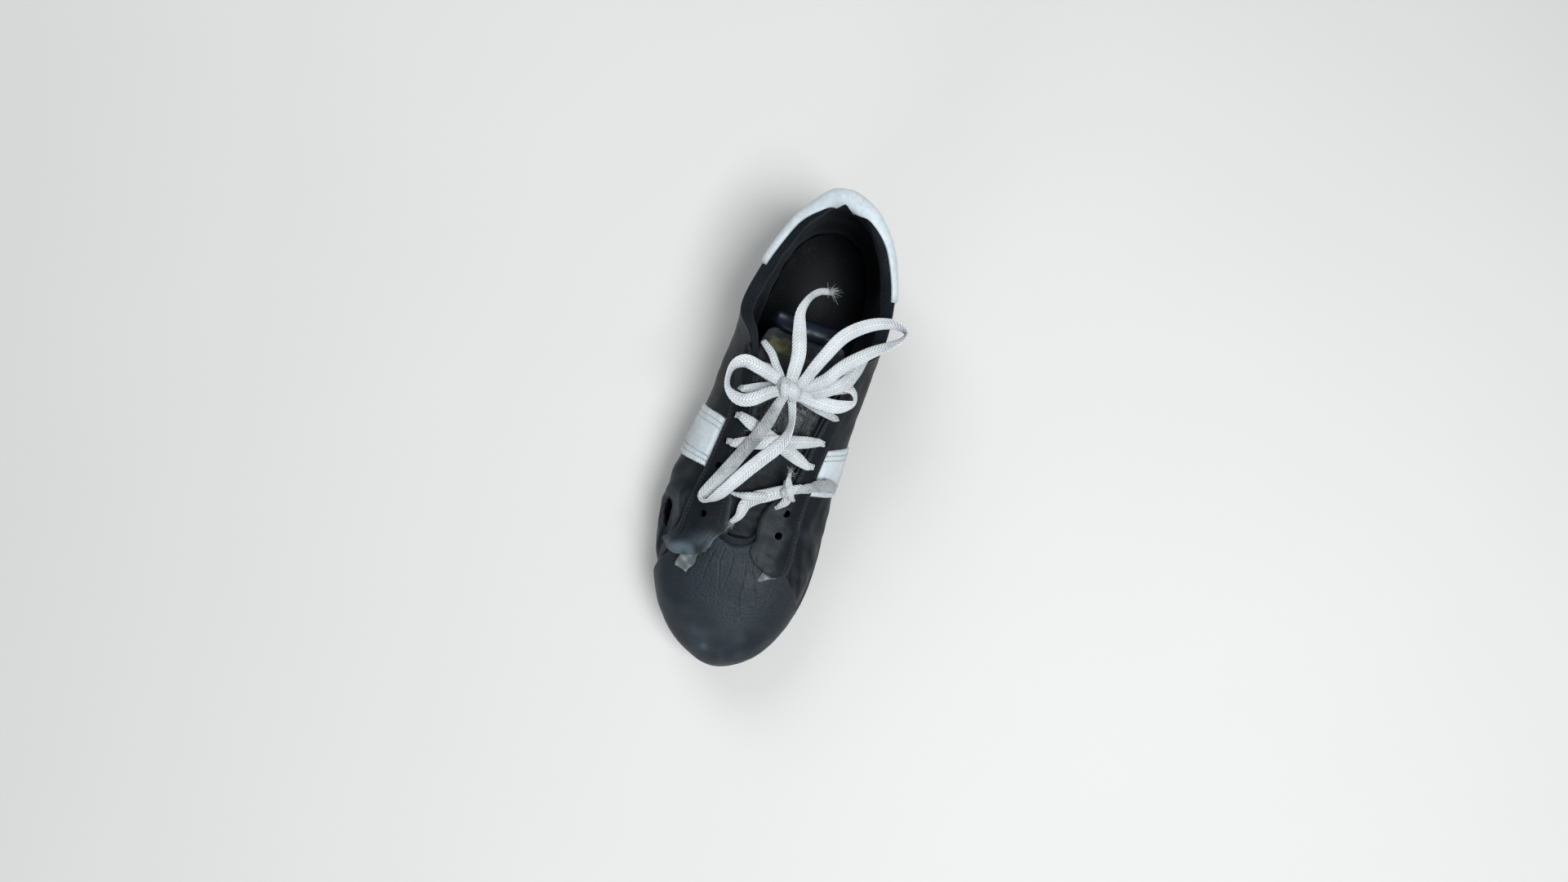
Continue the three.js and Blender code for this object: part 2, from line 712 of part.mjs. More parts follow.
/** Flat tape along a route of x, y, z and roll. */
function tape(route) {
  const curve = new THREE.CatmullRomCurve3(route.map(({ x, y, z }) => new THREE.Vector3(x, y, z)));
  const steps = (route.length - 1) * 2;
  const top = [];
  const bottom = [];
  for (let k = 0; k <= steps; k += 1) {
    const share = k / steps;
    const place = share * (route.length - 1);
    const i = Math.min(Math.floor(place), route.length - 2);
    const roll = THREE.MathUtils.degToRad(THREE.MathUtils.lerp(route[i].roll, route[i + 1].roll, place - i));
    const centre = curve.getPoint(share);
    const tangent = curve.getTangent(share);
    const side = new THREE.Vector3(0, 0, 1).cross(tangent).normalize();
    const face = tangent.clone().cross(side);
    const wide = side.clone().multiplyScalar(Math.cos(roll)).addScaledVector(face, Math.sin(roll));
    const deep = tangent.clone().cross(wide);
    const at2 = (a, b) => centre.clone().addScaledVector(wide, a * LACE_WIDTH / 2).addScaledVector(deep, b * LACE_THICKNESS / 2);
    top.push([at2(-1, 1), at2(1, 1)]);
    bottom.push([at2(-1, -1), at2(1, -1)]);
  }
  return sheet(top, bottom);
}

/** Route of a bar from an eyelet of one side to an eyelet of the other, bowed over the tongue. */
function barRoute(lateral, medial, bow) {
  const [from, to] = [EYELET_ROWS[lateral].s, RING - EYELET_ROWS[medial].s];
  const [foot, lip] = [STAY_THICKNESS + 2.6, STAY_THICKNESS + 2.8];
  const [outerLip, innerLip] = [raised(from, 0.98, lip), raised(to, 0.98, lip)];
  const middle = span(0, 1, 5).map((f) => {
    const point = outerLip.clone().lerp(innerLip, f);
    point.z += 4 * bow * f * (1 - f);
    return point;
  });
  const points = [raised(from, 0.89, foot), ...middle, raised(to, 0.89, foot)];
  return points.map(({ x, y, z }) => ({ x, y, z, roll: 0 }));
}

/** Two bars that cross, joined where they meet. */
function crossing(upperEyelet, bow) {
  const one = solidOf(tape(barRoute(upperEyelet, upperEyelet + 1, bow)));
  const two = solidOf(tape(barRoute(upperEyelet + 1, upperEyelet, bow)));
  return geometryOf(one.add(two));
}

/** Lump of a tied knot. */
function knot({ centre, radii }) {
  const matrix = new THREE.Matrix4().makeScale(...radii);
  matrix.setPosition(...centre);
  return welded(new THREE.SphereGeometry(1, 10, 6), matrix);
}

const FINISH = {
  rubber: { color: 0x1b1c1f, roughness: 0.75, metalness: 0 },
  leather: { color: 0x24272b, roughness: 0.5, metalness: 0 },
  cap: { color: 0x33363a, roughness: 0.55, metalness: 0 },
  white: { color: 0xd9dde0, roughness: 0.55, metalness: 0 },
  lining: { color: 0x17181a, roughness: 0.9, metalness: 0 },
  tongue: { color: 0x2b2d2e, roughness: 0.85, metalness: 0 },
  lace: { color: 0xcfd2d3, roughness: 0.9, metalness: 0 },
};

const group = new THREE.Group();

/** Add a named piece to the shoe. */
function add(name, geometry, finish) {
  const mesh = new THREE.Mesh(geometry, new THREE.MeshStandardMaterial(finish));
  mesh.name = name;
  group.add(mesh);
}

add("cup_sole", cupSole(), FINISH.rubber);
add("insole", insole(), FINISH.lining);
add("upper", upper(), FINISH.leather);
add("tongue", tongue(), FINISH.tongue);
add("toe_cap", toeCap(), FINISH.cap);
add("eyestay_lateral", stay(false), FINISH.leather);
add("eyestay_medial", stay(true), FINISH.leather);
add("heel_tab", heelTab(), FINISH.white);
add("side_band_lateral", sideBand(false), FINISH.white);
add("side_band_medial", sideBand(true), FINISH.white);
add("lace_crossing_rear", crossing(0, 2), FINISH.lace);
add("lace_crossing_front", crossing(2, 2), FINISH.lace);
add("lace_knot", knot(LACE_KNOT), FINISH.lace);
add("lace_knot_front", knot(FRONT_KNOT), FINISH.lace);
for (const [name, route] of Object.entries(LACE_ROUTES)) {
  add(name, tape(route), FINISH.lace);
}

export default group;
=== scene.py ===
"""Looks of a worn low-top leather sneaker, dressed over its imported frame."""
import logging
import math
from dataclasses import dataclass, field
from enum import Enum
from typing import Callable, Sequence

import bmesh
import bpy
import numpy as np
from mathutils import Matrix, Vector


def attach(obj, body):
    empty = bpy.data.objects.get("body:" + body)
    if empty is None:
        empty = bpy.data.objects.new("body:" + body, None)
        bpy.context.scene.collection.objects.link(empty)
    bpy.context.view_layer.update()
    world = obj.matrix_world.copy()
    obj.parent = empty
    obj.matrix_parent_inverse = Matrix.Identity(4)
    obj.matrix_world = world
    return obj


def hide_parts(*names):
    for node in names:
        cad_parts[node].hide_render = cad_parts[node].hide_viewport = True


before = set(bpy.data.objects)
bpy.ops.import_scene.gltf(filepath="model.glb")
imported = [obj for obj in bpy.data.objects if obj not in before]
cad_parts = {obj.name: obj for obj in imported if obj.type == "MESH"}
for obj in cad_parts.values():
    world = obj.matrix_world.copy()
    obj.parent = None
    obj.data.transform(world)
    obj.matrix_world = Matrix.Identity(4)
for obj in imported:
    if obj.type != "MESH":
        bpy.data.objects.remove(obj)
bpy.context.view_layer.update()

LOG = logging.getLogger("sneaker")
MM = 0.001
BODY = "root"

# Waves in a ripple, and the merging distance of a seam in metres.
WAVES = 18
SEAM = 2e-5

Array = np.ndarray
Colour = tuple[float, float, float]
Piece = bpy.types.Object
Place = Callable[[Array, Array], Array]
Point = tuple[float, float, float]
Route = tuple[tuple[float, float, float, float], ...]
Value = "Wire | float | Sequence[float]"

# Sections from heel to toe. Shares of the length, width and heel height, and millimetres.
# along, lateral, medial, ground, bed, rim
SOLE_ROWS = (
    (0.0, 0.051, 0.051, 3.2, 15.0, 25.4),
    (0.014, -0.092, 0.194, 2.2, 15.0, 25.4),
    (0.049, -0.204, 0.306, 0.7, 15.0, 25.2),
    (0.106, -0.281, 0.378, 0.0, 14.8, 24.8),
    (0.19, -0.327, 0.416, 0.0, 14.4, 24.2),
    (0.296, -0.358, 0.408, 0.0, 13.4, 23.4),
    (0.408, -0.396, 0.397, 2.6, 11.8, 22.2),
    (0.521, -0.45, 0.427, 1.5, 10.2, 21.2),
    (0.627, -0.491, 0.475, 0.0, 9.4, 20.6),
    (0.725, -0.503, 0.496, 0.0, 9.4, 20.6),
    (0.817, -0.469, 0.478, 0.9, 10.2, 21.4),
    (0.894, -0.388, 0.408, 3.4, 12.2, 23.2),
    (0.951, -0.265, 0.306, 6.4, 14.6, 25.2),
    (0.986, -0.117, 0.173, 8.8, 16.6, 26.8),
    (1.0, 0.031, 0.031, 9.6, 17.4, 27.4),
)
# along, side, height, flare, rise, reach, drop, pad
LATERAL_EDGE = (
    (0.02, 0.041, 1.0, 4, 18, 4, 22, 1),
    (0.028, -0.046, 0.994, 4, 18, 3.5, 22, 1),
    (0.054, -0.118, 0.977, 4, 18, 2.5, 22, 1),
    (0.098, -0.216, 0.93, 4.5, 18, 1, 21, 1),
    (0.19, -0.322, 0.849, 6.5, 17, 0, 20, 1),
    (0.282, -0.374, 0.779, 10, 15, 0, 17, 0.9),
    (0.348, -0.255, 0.872, 14.5, 14, 8, 16, 0.45),
    (0.472, -0.16, 0.837, 16, 13, 13, 9, 0),
    (0.577, -0.163, 0.779, 20, 12, 16, 6, 0),
    (0.658, -0.158, 0.721, 19.5, 12, 17, 4, 0),
    (0.704, -0.138, 0.686, 13, 14, 20, 4, 0),
    (0.718, -0.112, 0.677, 9, 16, 24, 4.5, 0),
    (0.723, -0.085, 0.674, 6, 18, 28, 5, 0),
    (0.725, -0.056, 0.673, 4, 20, 31, 5.5, 0),
    (0.726, -0.034, 0.672, 3.5, 21, 32, 5.5, 0),
)
MEDIAL_EDGE = (
    (0.02, 0.041, 1.0, 4, 18, 4, 22, 1),
    (0.026, 0.133, 0.994, 4, 18, 3.5, 22, 1),
    (0.048, 0.25, 0.965, 4, 18, 2.5, 22, 1),
    (0.1, 0.375, 0.919, 5, 18, 1, 21, 1),
    (0.19, 0.475, 0.82, 9, 17, 0, 19, 1),
    (0.292, 0.482, 0.767, 18, 15, 1, 17, 0.9),
    (0.348, 0.352, 0.86, 23, 14, 8, 16, 0.45),
    (0.479, 0.25, 0.826, 19, 13, 13, 9, 0),
    (0.577, 0.199, 0.767, 12, 13, 16, 6, 0),
    (0.662, 0.133, 0.715, 10, 13, 17, 4, 0),
    (0.706, 0.082, 0.686, 8, 14, 20, 4, 0),
    (0.72, 0.046, 0.677, 6, 16, 24, 4.5, 0),
    (0.724, 0.015, 0.674, 5, 18, 28, 5, 0),
    (0.725, -0.01, 0.673, 4, 20, 31, 5.5, 0),
    (0.726, -0.034, 0.672, 3.5, 21, 32, 5.5, 0),
)


def smooth(value: Array, low: float, high: float) -> Array:
    """Soft step from 0 at low to 1 at high.

    Args:
        value: numbers to step.
        low: where the step starts.
        high: where the step ends; below low for a falling step.

    Returns:
        Numbers from 0 to 1.
    """
    share = np.clip((np.asarray(value, float) - low) / (high - low), 0, 1)
    return share * share * (3 - 2 * share)


def ripple(points: Array, size: float, seed: int) -> Array:
    """Smooth seeded unevenness in space, about -1 to 1.

    Args:
        points: places, n by 3, in millimetres.
        size: length of one wave in millimetres.
        seed: number that fixes the pattern.

    Returns:
        One number for each point.
    """
    dice = np.random.default_rng(seed)
    waves = dice.normal(size=(WAVES, 3))
    pitch = 2 * math.pi / size * dice.uniform(0.55, 1.4, WAVES)
    waves *= (pitch / np.linalg.norm(waves, axis=1))[:, None]
    return np.sin(points @ waves.T + dice.uniform(0, 6.28, WAVES)).sum(axis=1) / 5.0


def unit(vectors: Array) -> Array:
    """Vectors brought to length one."""
    return vectors / np.maximum(np.linalg.norm(vectors, axis=-1, keepdims=True), 1e-9)


def walked(points: Array) -> Array:
    """Distance walked along a line to each of its points."""
    return np.concatenate([[0], np.cumsum(np.linalg.norm(np.diff(points, axis=0), axis=1))])


def margin(share: Array) -> Array:
    """Distance of a share from its nearer end, 0 to 0.5."""
    return np.minimum(share, 1 - share)


def rounded(reach: Array, radius: float) -> Array:
    """Height of a rounded edge, 0 at the edge and 1 from the radius inwards."""
    return np.sqrt(1 - (1 - np.clip(reach / radius, 0, 1)) ** 2)


def inward(spine: Array, edge: Array, share: float, level: Array) -> Array:
    """Row part of the way from a middle line to an edge.

    Args:
        spine: points of the middle line.
        edge: points of the edge.
        share: part of the way, 0 to 1.
        level: height of the row in millimetres.

    Returns:
        Points in millimetres.
    """
    row = spine + (edge - spine) * share
    row[:, 2] = level
    return row


def blend(rows: Array, at: Array) -> Array:
    """Rows read at places between them.

    Args:
        rows: rows of points.
        at: places, counted in rows.

    Returns:
        Points in millimetres.
    """
    i = np.minimum(at.astype(int), len(rows) - 2)
    share = (at - i)[:, None]
    return rows[i] * (1 - share) + rows[i + 1] * share


def shade(colour: Colour, share: float) -> Colour:
    """Colour made darker or lighter."""
    return tuple(share * c for c in colour)


class Side(Enum):
    """Side of the shoe: little toe or big toe."""

    LATERAL = "lateral"
    MEDIAL = "medial"

    def turn(self, s: Array) -> Array:
        """Section number of a lateral section on this side."""
        return s if self is Side.LATERAL else ShoeForm.RING - s


class ShoeForm:
    """Form of the upper and sole in millimetres, by section s round the ring and height w."""

    LAST = 14
    RING = 28
    RIM_W = 0.12
    LENGTH = 284.0
    BALL = 98.0
    HEEL = 86.0
    WALL = 2.2
    PAD = 5.0
    CUP = 4.0
    GAP = 0.35

    def __init__(self) -> None:
        """Lays the rows of both sides into one closed ring."""
        station = [i if i <= self.LAST else self.RING - i for i in range(self.RING)]
        outer = np.array([i <= self.LAST for i in range(self.RING)])
        sole = np.array(SOLE_ROWS)[station]
        tables = (np.array(rows, float)[station] for rows in (LATERAL_EDGE, MEDIAL_EDGE))
        edge = np.where(outer[:, None], *tables)
        self.columns: dict[str, Array] = {
            "x": (sole[:, 0] - 0.5) * self.LENGTH,
            "y": np.where(outer, sole[:, 1], sole[:, 2]) * self.BALL,
            "ground": sole[:, 3],
            "bed": sole[:, 4],
            "rim": sole[:, 5],
            "edge_x": (edge[:, 0] - 0.5) * self.LENGTH,
            "edge_y": edge[:, 1] * self.BALL,
            "edge_z": edge[:, 2] * self.HEEL,
        }
        for k, name in enumerate(("flare", "rise", "reach", "drop", "pad")):
            self.columns[name] = edge[:, 3 + k]

    def at(self, column: str, s: Array) -> Array:
        """Smooth value of a column at section s.

        Args:
            column: name of the column.
            s: section numbers.

        Returns:
            Values in millimetres.
        """
        rows = self.columns[column]
        turn = np.mod(np.asarray(s, float), self.RING)
        i = np.floor(turn).astype(int)
        f = turn - i
        a, b, c, d = (rows[(i + k) % self.RING] for k in (-1, 0, 1, 2))
        f2, f3 = f * f, f * f * f
        ends = (2 * f3 - 3 * f2 + 1) * b + (3 * f2 - 2 * f3) * c
        return ends + (f3 - 2 * f2 + f) * (c - a) / 2 + (f3 - f2) * (d - b) / 2

    def outward(self, s: Array) -> Array:
        """Level direction out of the sole's outline.

        Args:
            s: section numbers.

        Returns:
            Unit vectors.
        """
        dx = self.at("x", s + 0.05) - self.at("x", s - 0.05)
        dy = self.at("y", s + 0.05) - self.at("y", s - 0.05)
        return unit(np.stack([dy, -dx, np.zeros_like(dx)], -1))

    def beside(self, s: Array, out: Array, z: Array) -> Array:
        """Point at height z, the distance out outside the sole's outline."""
        foot = np.stack([self.at("x", s), self.at("y", s), np.broadcast_to(z, np.shape(s))], -1)
        return foot + self.outward(s) * np.broadcast_to(out, np.shape(s))[..., None]

    def outside(self, s: Array, w: Array) -> Array:
        """Outside of the upper, w 0 in the cup, 0.12 at its rim and 1 at the opening.

        Args:
            s: section numbers.
            w: heights along the wall.

        Returns:
            Points in millimetres.
        """
        s, w = np.broadcast_arrays(np.asarray(s, float), np.asarray(w, float))
        inset = -(self.CUP + self.GAP)
        foot = self.beside(s, inset, self.at("bed", s) + self.GAP)
        rim = self.beside(s, inset, self.at("rim", s) + self.GAP)
        edge = np.stack([self.at("edge_x", s), self.at("edge_y", s), self.at("edge_z", s)], -1)
        out = self.outward(s)
        up = np.array([0.0, 0.0, 1.0])
        low = rim + out * self.at("flare", s)[..., None] + up * self.at("rise", s)[..., None]
        high = edge + out * self.at("reach", s)[..., None] - up * self.at("drop", s)[..., None]
        t = np.clip((w - self.RIM_W) / (1 - self.RIM_W), 0, 1)[..., None]
        lower = (1 - t) ** 3 * rim + 3 * (1 - t) ** 2 * t * low
        curve = lower + 3 * (1 - t) * t * t * high + t ** 3 * edge
        share = np.clip(w / self.RIM_W, 0, 1)[..., None]
        return np.where(w[..., None] <= self.RIM_W, foot + (rim - foot) * share, curve)

    def thickness(self, s: Array, w: Array) -> Array:
        """Thickness of the wall, swelling into the padded collar."""
        return self.WALL + self.PAD * np.clip(self.at("pad", s), 0, 1) * smooth(w, 0.5, 0.92)

    def facing(self, s: Array, w: Array) -> Array:
        """Outward normal of the outside.

        Args:
            s: section numbers.
            w: heights along the wall.

        Returns:
            Unit vectors.
        """
        along = self.outside(s + 0.04, w) - self.outside(s - 0.04, w)
        up = self.outside(s, np.minimum(w + 0.01, 1)) - self.outside(s, np.maximum(w - 0.01, 0))
        return unit(np.cross(along, up))

    def skin(self, s: Array, w: Array) -> Array:
        """Skin of the wall: w 0 to 1 outside, 1 to 2 over the rim, 2 to 3 down the inside.

        Args:
            s: section numbers.
            w: places round the wall's own section.

        Returns:
            Points in millimetres.
        """
        s, w = np.broadcast_arrays(np.asarray(s, float), np.asarray(w, float))
        outer = self.outside(s, np.clip(w, 0, 1))
        t = np.clip(3 - w, 0, 1)
        inner = self.outside(s, t) - self.facing(s, t) * self.thickness(s, t)[..., None]
        one = np.ones_like(w)
        top = self.outside(s, one)
        rise = unit(top - self.outside(s, one * 0.98))
        half = (self.thickness(s, one) / 2)[..., None]
        angle = (math.pi * (np.clip(w, 1, 2) - 1))[..., None]
        over = top + self.facing(s, one) * half * (np.cos(angle) - 1) + rise * half * 0.75 * np.sin(angle)
        over = np.where((w >= 2)[..., None], inner, over)
        return np.where((w <= 1)[..., None], outer, over)

    def normal(self, s: Array, w: Array) -> Array:
        """Normal of the wall's skin.

        Args:
            s: section numbers.
            w: places round the wall's own section.

        Returns:
            Unit vectors.
        """
        along = self.skin(s + 0.04, w) - self.skin(s - 0.04, w)
        up = self.skin(s, np.minimum(w + 0.012, 3)) - self.skin(s, np.maximum(w - 0.012, 0))
        return unit(np.cross(along, up))

    def raised(self, s: Array, w: Array, lift: Array) -> Array:
        """Skin raised by lift along its normal."""
        s, w = np.broadcast_arrays(np.asarray(s, float), np.asarray(w, float))
        return self.skin(s, w) + self.normal(s, w) * np.broadcast_to(lift, s.shape)[..., None]

    def even_sections(self, count: int) -> Array:
        """Section numbers spaced evenly round the rim, the same on both sides.

        Args:
            count: number of sections, even.

        Returns:
            Rising section numbers from 0.
        """
        half = count // 2
        fine = np.linspace(0, self.RING / 2, 1401)
        walk = walked(self.beside(fine, 0.0, 0.0))
        side = np.interp(np.arange(half + 1) / half * walk[-1], walk, fine)
        return np.concatenate([side, self.RING - side[-2:0:-1]])

    def spine(self, s: Array) -> Array:
        """Middle line of the sole under section s."""
        return 0.5 * (self.beside(s, 0.0, 0.0) + self.beside(self.RING - s, 0.0, 0.0))


FORM = ShoeForm()


@dataclass(frozen=True)
class Fold:
    """Soft crease in leather: a trough, or a ridge if depth is negative, along a line of (s, w)."""

    line: tuple[tuple[float, float], ...]
    depth: float
    width: float
    shoulder: float = 0.45
    fade: float = 0.28

    def press(self, points: Array) -> Array:
        """Rise of each point that the crease makes.

        Args:
            points: places on the leather, n by 3, in millimetres.

        Returns:
            Millimetres along the normal.
        """
        path = FORM.outside(*np.array(self.line).T)
        walk = walked(path)
        near = np.full(len(points), 1e9)
        share = np.zeros(len(points))
        for k, step in enumerate(np.linalg.norm(np.diff(path, axis=0), axis=1)):
            way = (path[k + 1] - path[k]) / step
            run = np.clip((points - path[k]) @ way, 0, step)
            gap = np.linalg.norm(points - path[k] - run[:, None] * way, axis=1)
            closer = gap < near
            near = np.where(closer, gap, near)
            share = np.where(closer, (walk[k] + run) / walk[-1], share)
        taper = smooth(share, 0, self.fade) * smooth(share, 1, 1 - self.fade)
        trough = np.exp(-((near / self.width) ** 2))
        banks = np.exp(-(((near - 2.1 * self.width) / self.width) ** 2))
        return self.depth * taper * (self.shoulder * banks - trough)


@dataclass(frozen=True)
class Creasing:
    """Creases and unevenness of the upper's leather, shared by all that is sewn to it."""

    folds: tuple[Fold, ...] = (
        Fold(((8.35, 0.36), (8.62, 0.45), (8.9, 0.6), (9.3, 0.63), (9.7, 0.62)), -1.2, 2.6, 0.1),
        Fold(((8.5, 0.3), (8.85, 0.38), (9.3, 0.39), (9.65, 0.42)), -0.8, 2.4, 0.1),
        Fold(((8.66, 0.7), (9.0, 0.66), (9.45, 0.68), (9.95, 0.66)), 1.3, 2.4),
        Fold(((9.5, 0.56), (9.75, 0.5), (10.0, 0.4), (10.2, 0.26)), 1.3, 2.2),
        Fold(((9.65, 0.66), (9.95, 0.54), (10.3, 0.42)), -0.9, 2.6, 0.3),
        Fold(((8.2, 0.7), (8.3, 0.52), (8.42, 0.36), (8.4, 0.2)), 0.8, 4.2),
        Fold(((8.75, 0.34), (8.95, 0.26), (9.3, 0.2), (9.8, 0.18)), 0.8, 2.4),
        Fold(((7.6, 0.5), (7.8, 0.38), (7.9, 0.24)), 0.5, 5.0),
        Fold(((18.3, 0.62), (18.05, 0.55), (17.85, 0.46), (17.8, 0.36)), 0.7, 1.8),
        Fold(((19.5, 0.66), (19.25, 0.5), (19.15, 0.34), (19.2, 0.2)), 0.7, 4.0),
        Fold(((18.85, 0.6), (18.6, 0.46), (18.5, 0.3), (18.55, 0.18)), 0.7, 3.0),
        Fold(((20.4, 0.56), (20.3, 0.42), (20.3, 0.25)), 0.5, 5.0),
        Fold(((3.2, 0.75), (3.6, 0.55), (4.2, 0.4)), 0.9, 5.0),
        Fold(((24.9, 0.72), (24.4, 0.55), (23.8, 0.4)), 0.9, 5.0),
        Fold(((1.4, 0.45), (0, 0.4), (-1.4, 0.45)), 0.8, 5.0),
        Fold(((5.2, 0.5), (5.6, 0.38), (6.2, 0.3)), 0.7, 6.0),
        Fold(((22.9, 0.56), (22.5, 0.42), (21.9, 0.32)), 0.6, 6.0),
    )

    def rise(self, s: Array, w: Array) -> Array:
        """Rise of the leather.

        Args:
            s: section numbers.
            w: heights along the wall.

        Returns:
            Millimetres along the normal.
        """
        spots = FORM.outside(s, w)
        total = 0.3 * ripple(spots, 26, 5) + 0.15 * ripple(spots, 11, 6)
        for fold in self.folds:
            total += fold.press(spots)
        return total * smooth(w, 0.13, 0.24) * (1 - smooth(w, 0.8, 0.97))


CREASES = Creasing()


class Bench:
    """Mesh work by operators: primitives are placed, shaped and finished here."""

    @staticmethod
    def alone(piece: Piece) -> None:
        """Makes a piece the only selected and active object.

        Args:
            piece: the object.
        """
        bpy.ops.object.select_all(action="DESELECT")
        piece.select_set(True)
        bpy.context.view_layer.objects.active = piece

    @staticmethod
    def read(items: bpy.types.bpy_prop_collection, what: str, kind: type, width: int = 1) -> Array:
        """Values of a mesh's items.

        Args:
            items: vertices, loops, faces or attribute data.
            what: property that is read.
            kind: number type of the array.
            width: numbers that each item has.

        Returns:
            One array, a row an item where width is over 1.
        """
        flat = np.empty(len(items) * width, kind)
        items.foreach_get(what, flat)
        return flat.reshape(-1, width) if width > 1 else flat

    @classmethod
    def points(cls, piece: Piece) -> Array:
        """Vertices of a piece as an n by 3 array."""
        return cls.read(piece.data.vertices, "co", np.float32, 3).astype(float)

    @staticmethod
    def put(piece: Piece, points: Array) -> None:
        """Moves the vertices of a piece to points in metres."""
        piece.data.vertices.foreach_set("co", np.asarray(points, np.float32).ravel())
        piece.data.update()

    @staticmethod
    def mesh(name: str, points: Array, faces: Sequence[Sequence[int]]) -> Piece:
        """New piece of loose points and faces.

        Args:
            name: name of the piece.
            points: vertices in millimetres.
            faces: vertex numbers of each face.

        Returns:
            The new piece.
        """
        mesh = bpy.data.meshes.new(name)
        mesh.from_pydata((points.reshape(-1, 3) * MM).tolist(), [], faces)
        mesh.update()
        piece = bpy.data.objects.new(name, mesh)
        bpy.context.scene.collection.objects.link(piece)
        return piece

    @classmethod
    def grid(cls, name: str, across: int, along: int, place: Place) -> Piece:
        """Grid primitive whose vertices are carried onto a surface.

        Args:
            name: name of the piece.
            across: faces along u.
            along: faces along v.
            place: gives millimetre points for u and v from 0 to 1.

        Returns:
            The new piece.
        """
        bpy.ops.object.select_all(action="DESELECT")
        bpy.ops.mesh.primitive_grid_add(x_subdivisions=across, y_subdivisions=along, size=1)
        piece = bpy.context.object
        piece.name = piece.data.name = name
        flat = cls.points(piece)
        u = np.round((flat[:, 0] + 0.5) * across) / across
        v = np.round((flat[:, 1] + 0.5) * along) / along
        cls.put(piece, place(u, v) * MM)
        return piece

    @staticmethod
    def shares(across: int, along: int) -> tuple[Array, Array]:
        """Shares u and v of a grid's vertices, in their order."""
        u, v = np.linspace(0, 1, across + 1), np.linspace(0, 1, along + 1)
        return np.tile(u, along + 1), np.repeat(v, across + 1)

    @classmethod
    def rings(cls, name: str, rows: Sequence[Array]) -> Piece:
        """Grid closed into a ring of sections.

        Args:
            name: name of the piece.
            rows: rows of points round the ring, one for each step of the profile.

        Returns:
            The new piece.
        """
        stack = np.stack(rows)
        last, around = len(rows) - 1, stack.shape[1]

        def place(u: Array, v: Array) -> Array:
            """Point at section u and profile v."""
            return stack[np.round(v * last).astype(int), np.round(u * around).astype(int) % around]

        return cls.grid(name, around, last, place)

    @classmethod
    def mend(cls, piece: Piece, reach: float = 1e-6, cap: bool = False) -> None:
        """Merges doubles, closes open ends if asked, and turns the normals out.

        Args:
            piece: the mesh to mend.
            reach: merging distance in metres.
            cap: whether open loops are filled.
        """
        cls.alone(piece)
        bpy.ops.object.mode_set(mode="EDIT")
        bpy.ops.mesh.select_all(action="SELECT")
        bpy.ops.mesh.remove_doubles(threshold=reach)
        if cap:
            bpy.ops.mesh.select_all(action="SELECT")
            bpy.ops.mesh.fill_holes(sides=0)
        bpy.ops.mesh.select_all(action="SELECT")
        bpy.ops.mesh.normals_make_consistent(inside=False)
        if bmesh.from_edit_mesh(piece.data).calc_volume(signed=True) < 0:
            bpy.ops.mesh.flip_normals()
        bpy.ops.object.mode_set(mode="OBJECT")

    @classmethod
    def modify(cls, piece: Piece, kind: str, **settings: object) -> None:
        """Adds a modifier with its settings and applies it.

        Args:
            piece: the mesh that it changes.
            kind: modifier type.
            settings: its properties.
        """
        cls.alone(piece)
        bpy.ops.object.modifier_add(type=kind)
        modifier = piece.modifiers[-1]
        for name, value in settings.items():
            setattr(modifier, name, value)
        bpy.ops.object.modifier_apply(modifier=modifier.name)

    @classmethod
    def thicken(cls, piece: Piece, thick: float) -> None:
        """Gives a sheet its thickness, towards the inside of the shoe.

        Args:
            piece: the sheet.
            thick: thickness in millimetres.
        """
        normals = cls.read(piece.data.vertices, "normal", np.float32, 3)
        away = (cls.points(piece) - np.array([0, 0, 30 * MM])) * np.array([0.2, 1, 1])
        facing = np.sign((normals * away).sum())
        cls.modify(piece, "SOLIDIFY", thickness=thick * MM, offset=-facing, use_even_offset=False)

    @classmethod
    def soften(cls, piece: Piece, angle: float = 180.0) -> None:
        """Shades a piece smooth up to an angle.

        Args:
            piece: the mesh.
            angle: degrees; edges that turn more stay crisp.
        """
        cls.alone(piece)
        if angle >= 180:
            bpy.ops.object.shade_smooth()
        else:
            bpy.ops.object.shade_smooth_by_angle(angle=math.radians(angle))

    @classmethod
    def sheet(cls, piece: Piece, thick: float, angle: float, finish: bpy.types.Material) -> None:
        """Turns a painted sheet into a closed, dressed piece.

        Args:
            piece: the sheet.
            thick: thickness in millimetres.
            angle: degrees up to which it is shaded smooth.
            finish: its material.
        """
        cls.thicken(piece, thick)
        cls.mend(piece)
        cls.soften(piece, angle)
        cls.dress(piece, finish)

    @classmethod
    def join(cls, name: str, parts: Sequence[Piece]) -> Piece:
        """Joins parts into one piece.

        Args:
            name: name of the whole.
            parts: pieces that are used up.

        Returns:
            The joined piece.
        """
        cls.alone(parts[0])
        for part in parts:
            part.select_set(True)
        bpy.ops.object.join()
        piece = bpy.context.object
        piece.name = piece.data.name = name
        return piece

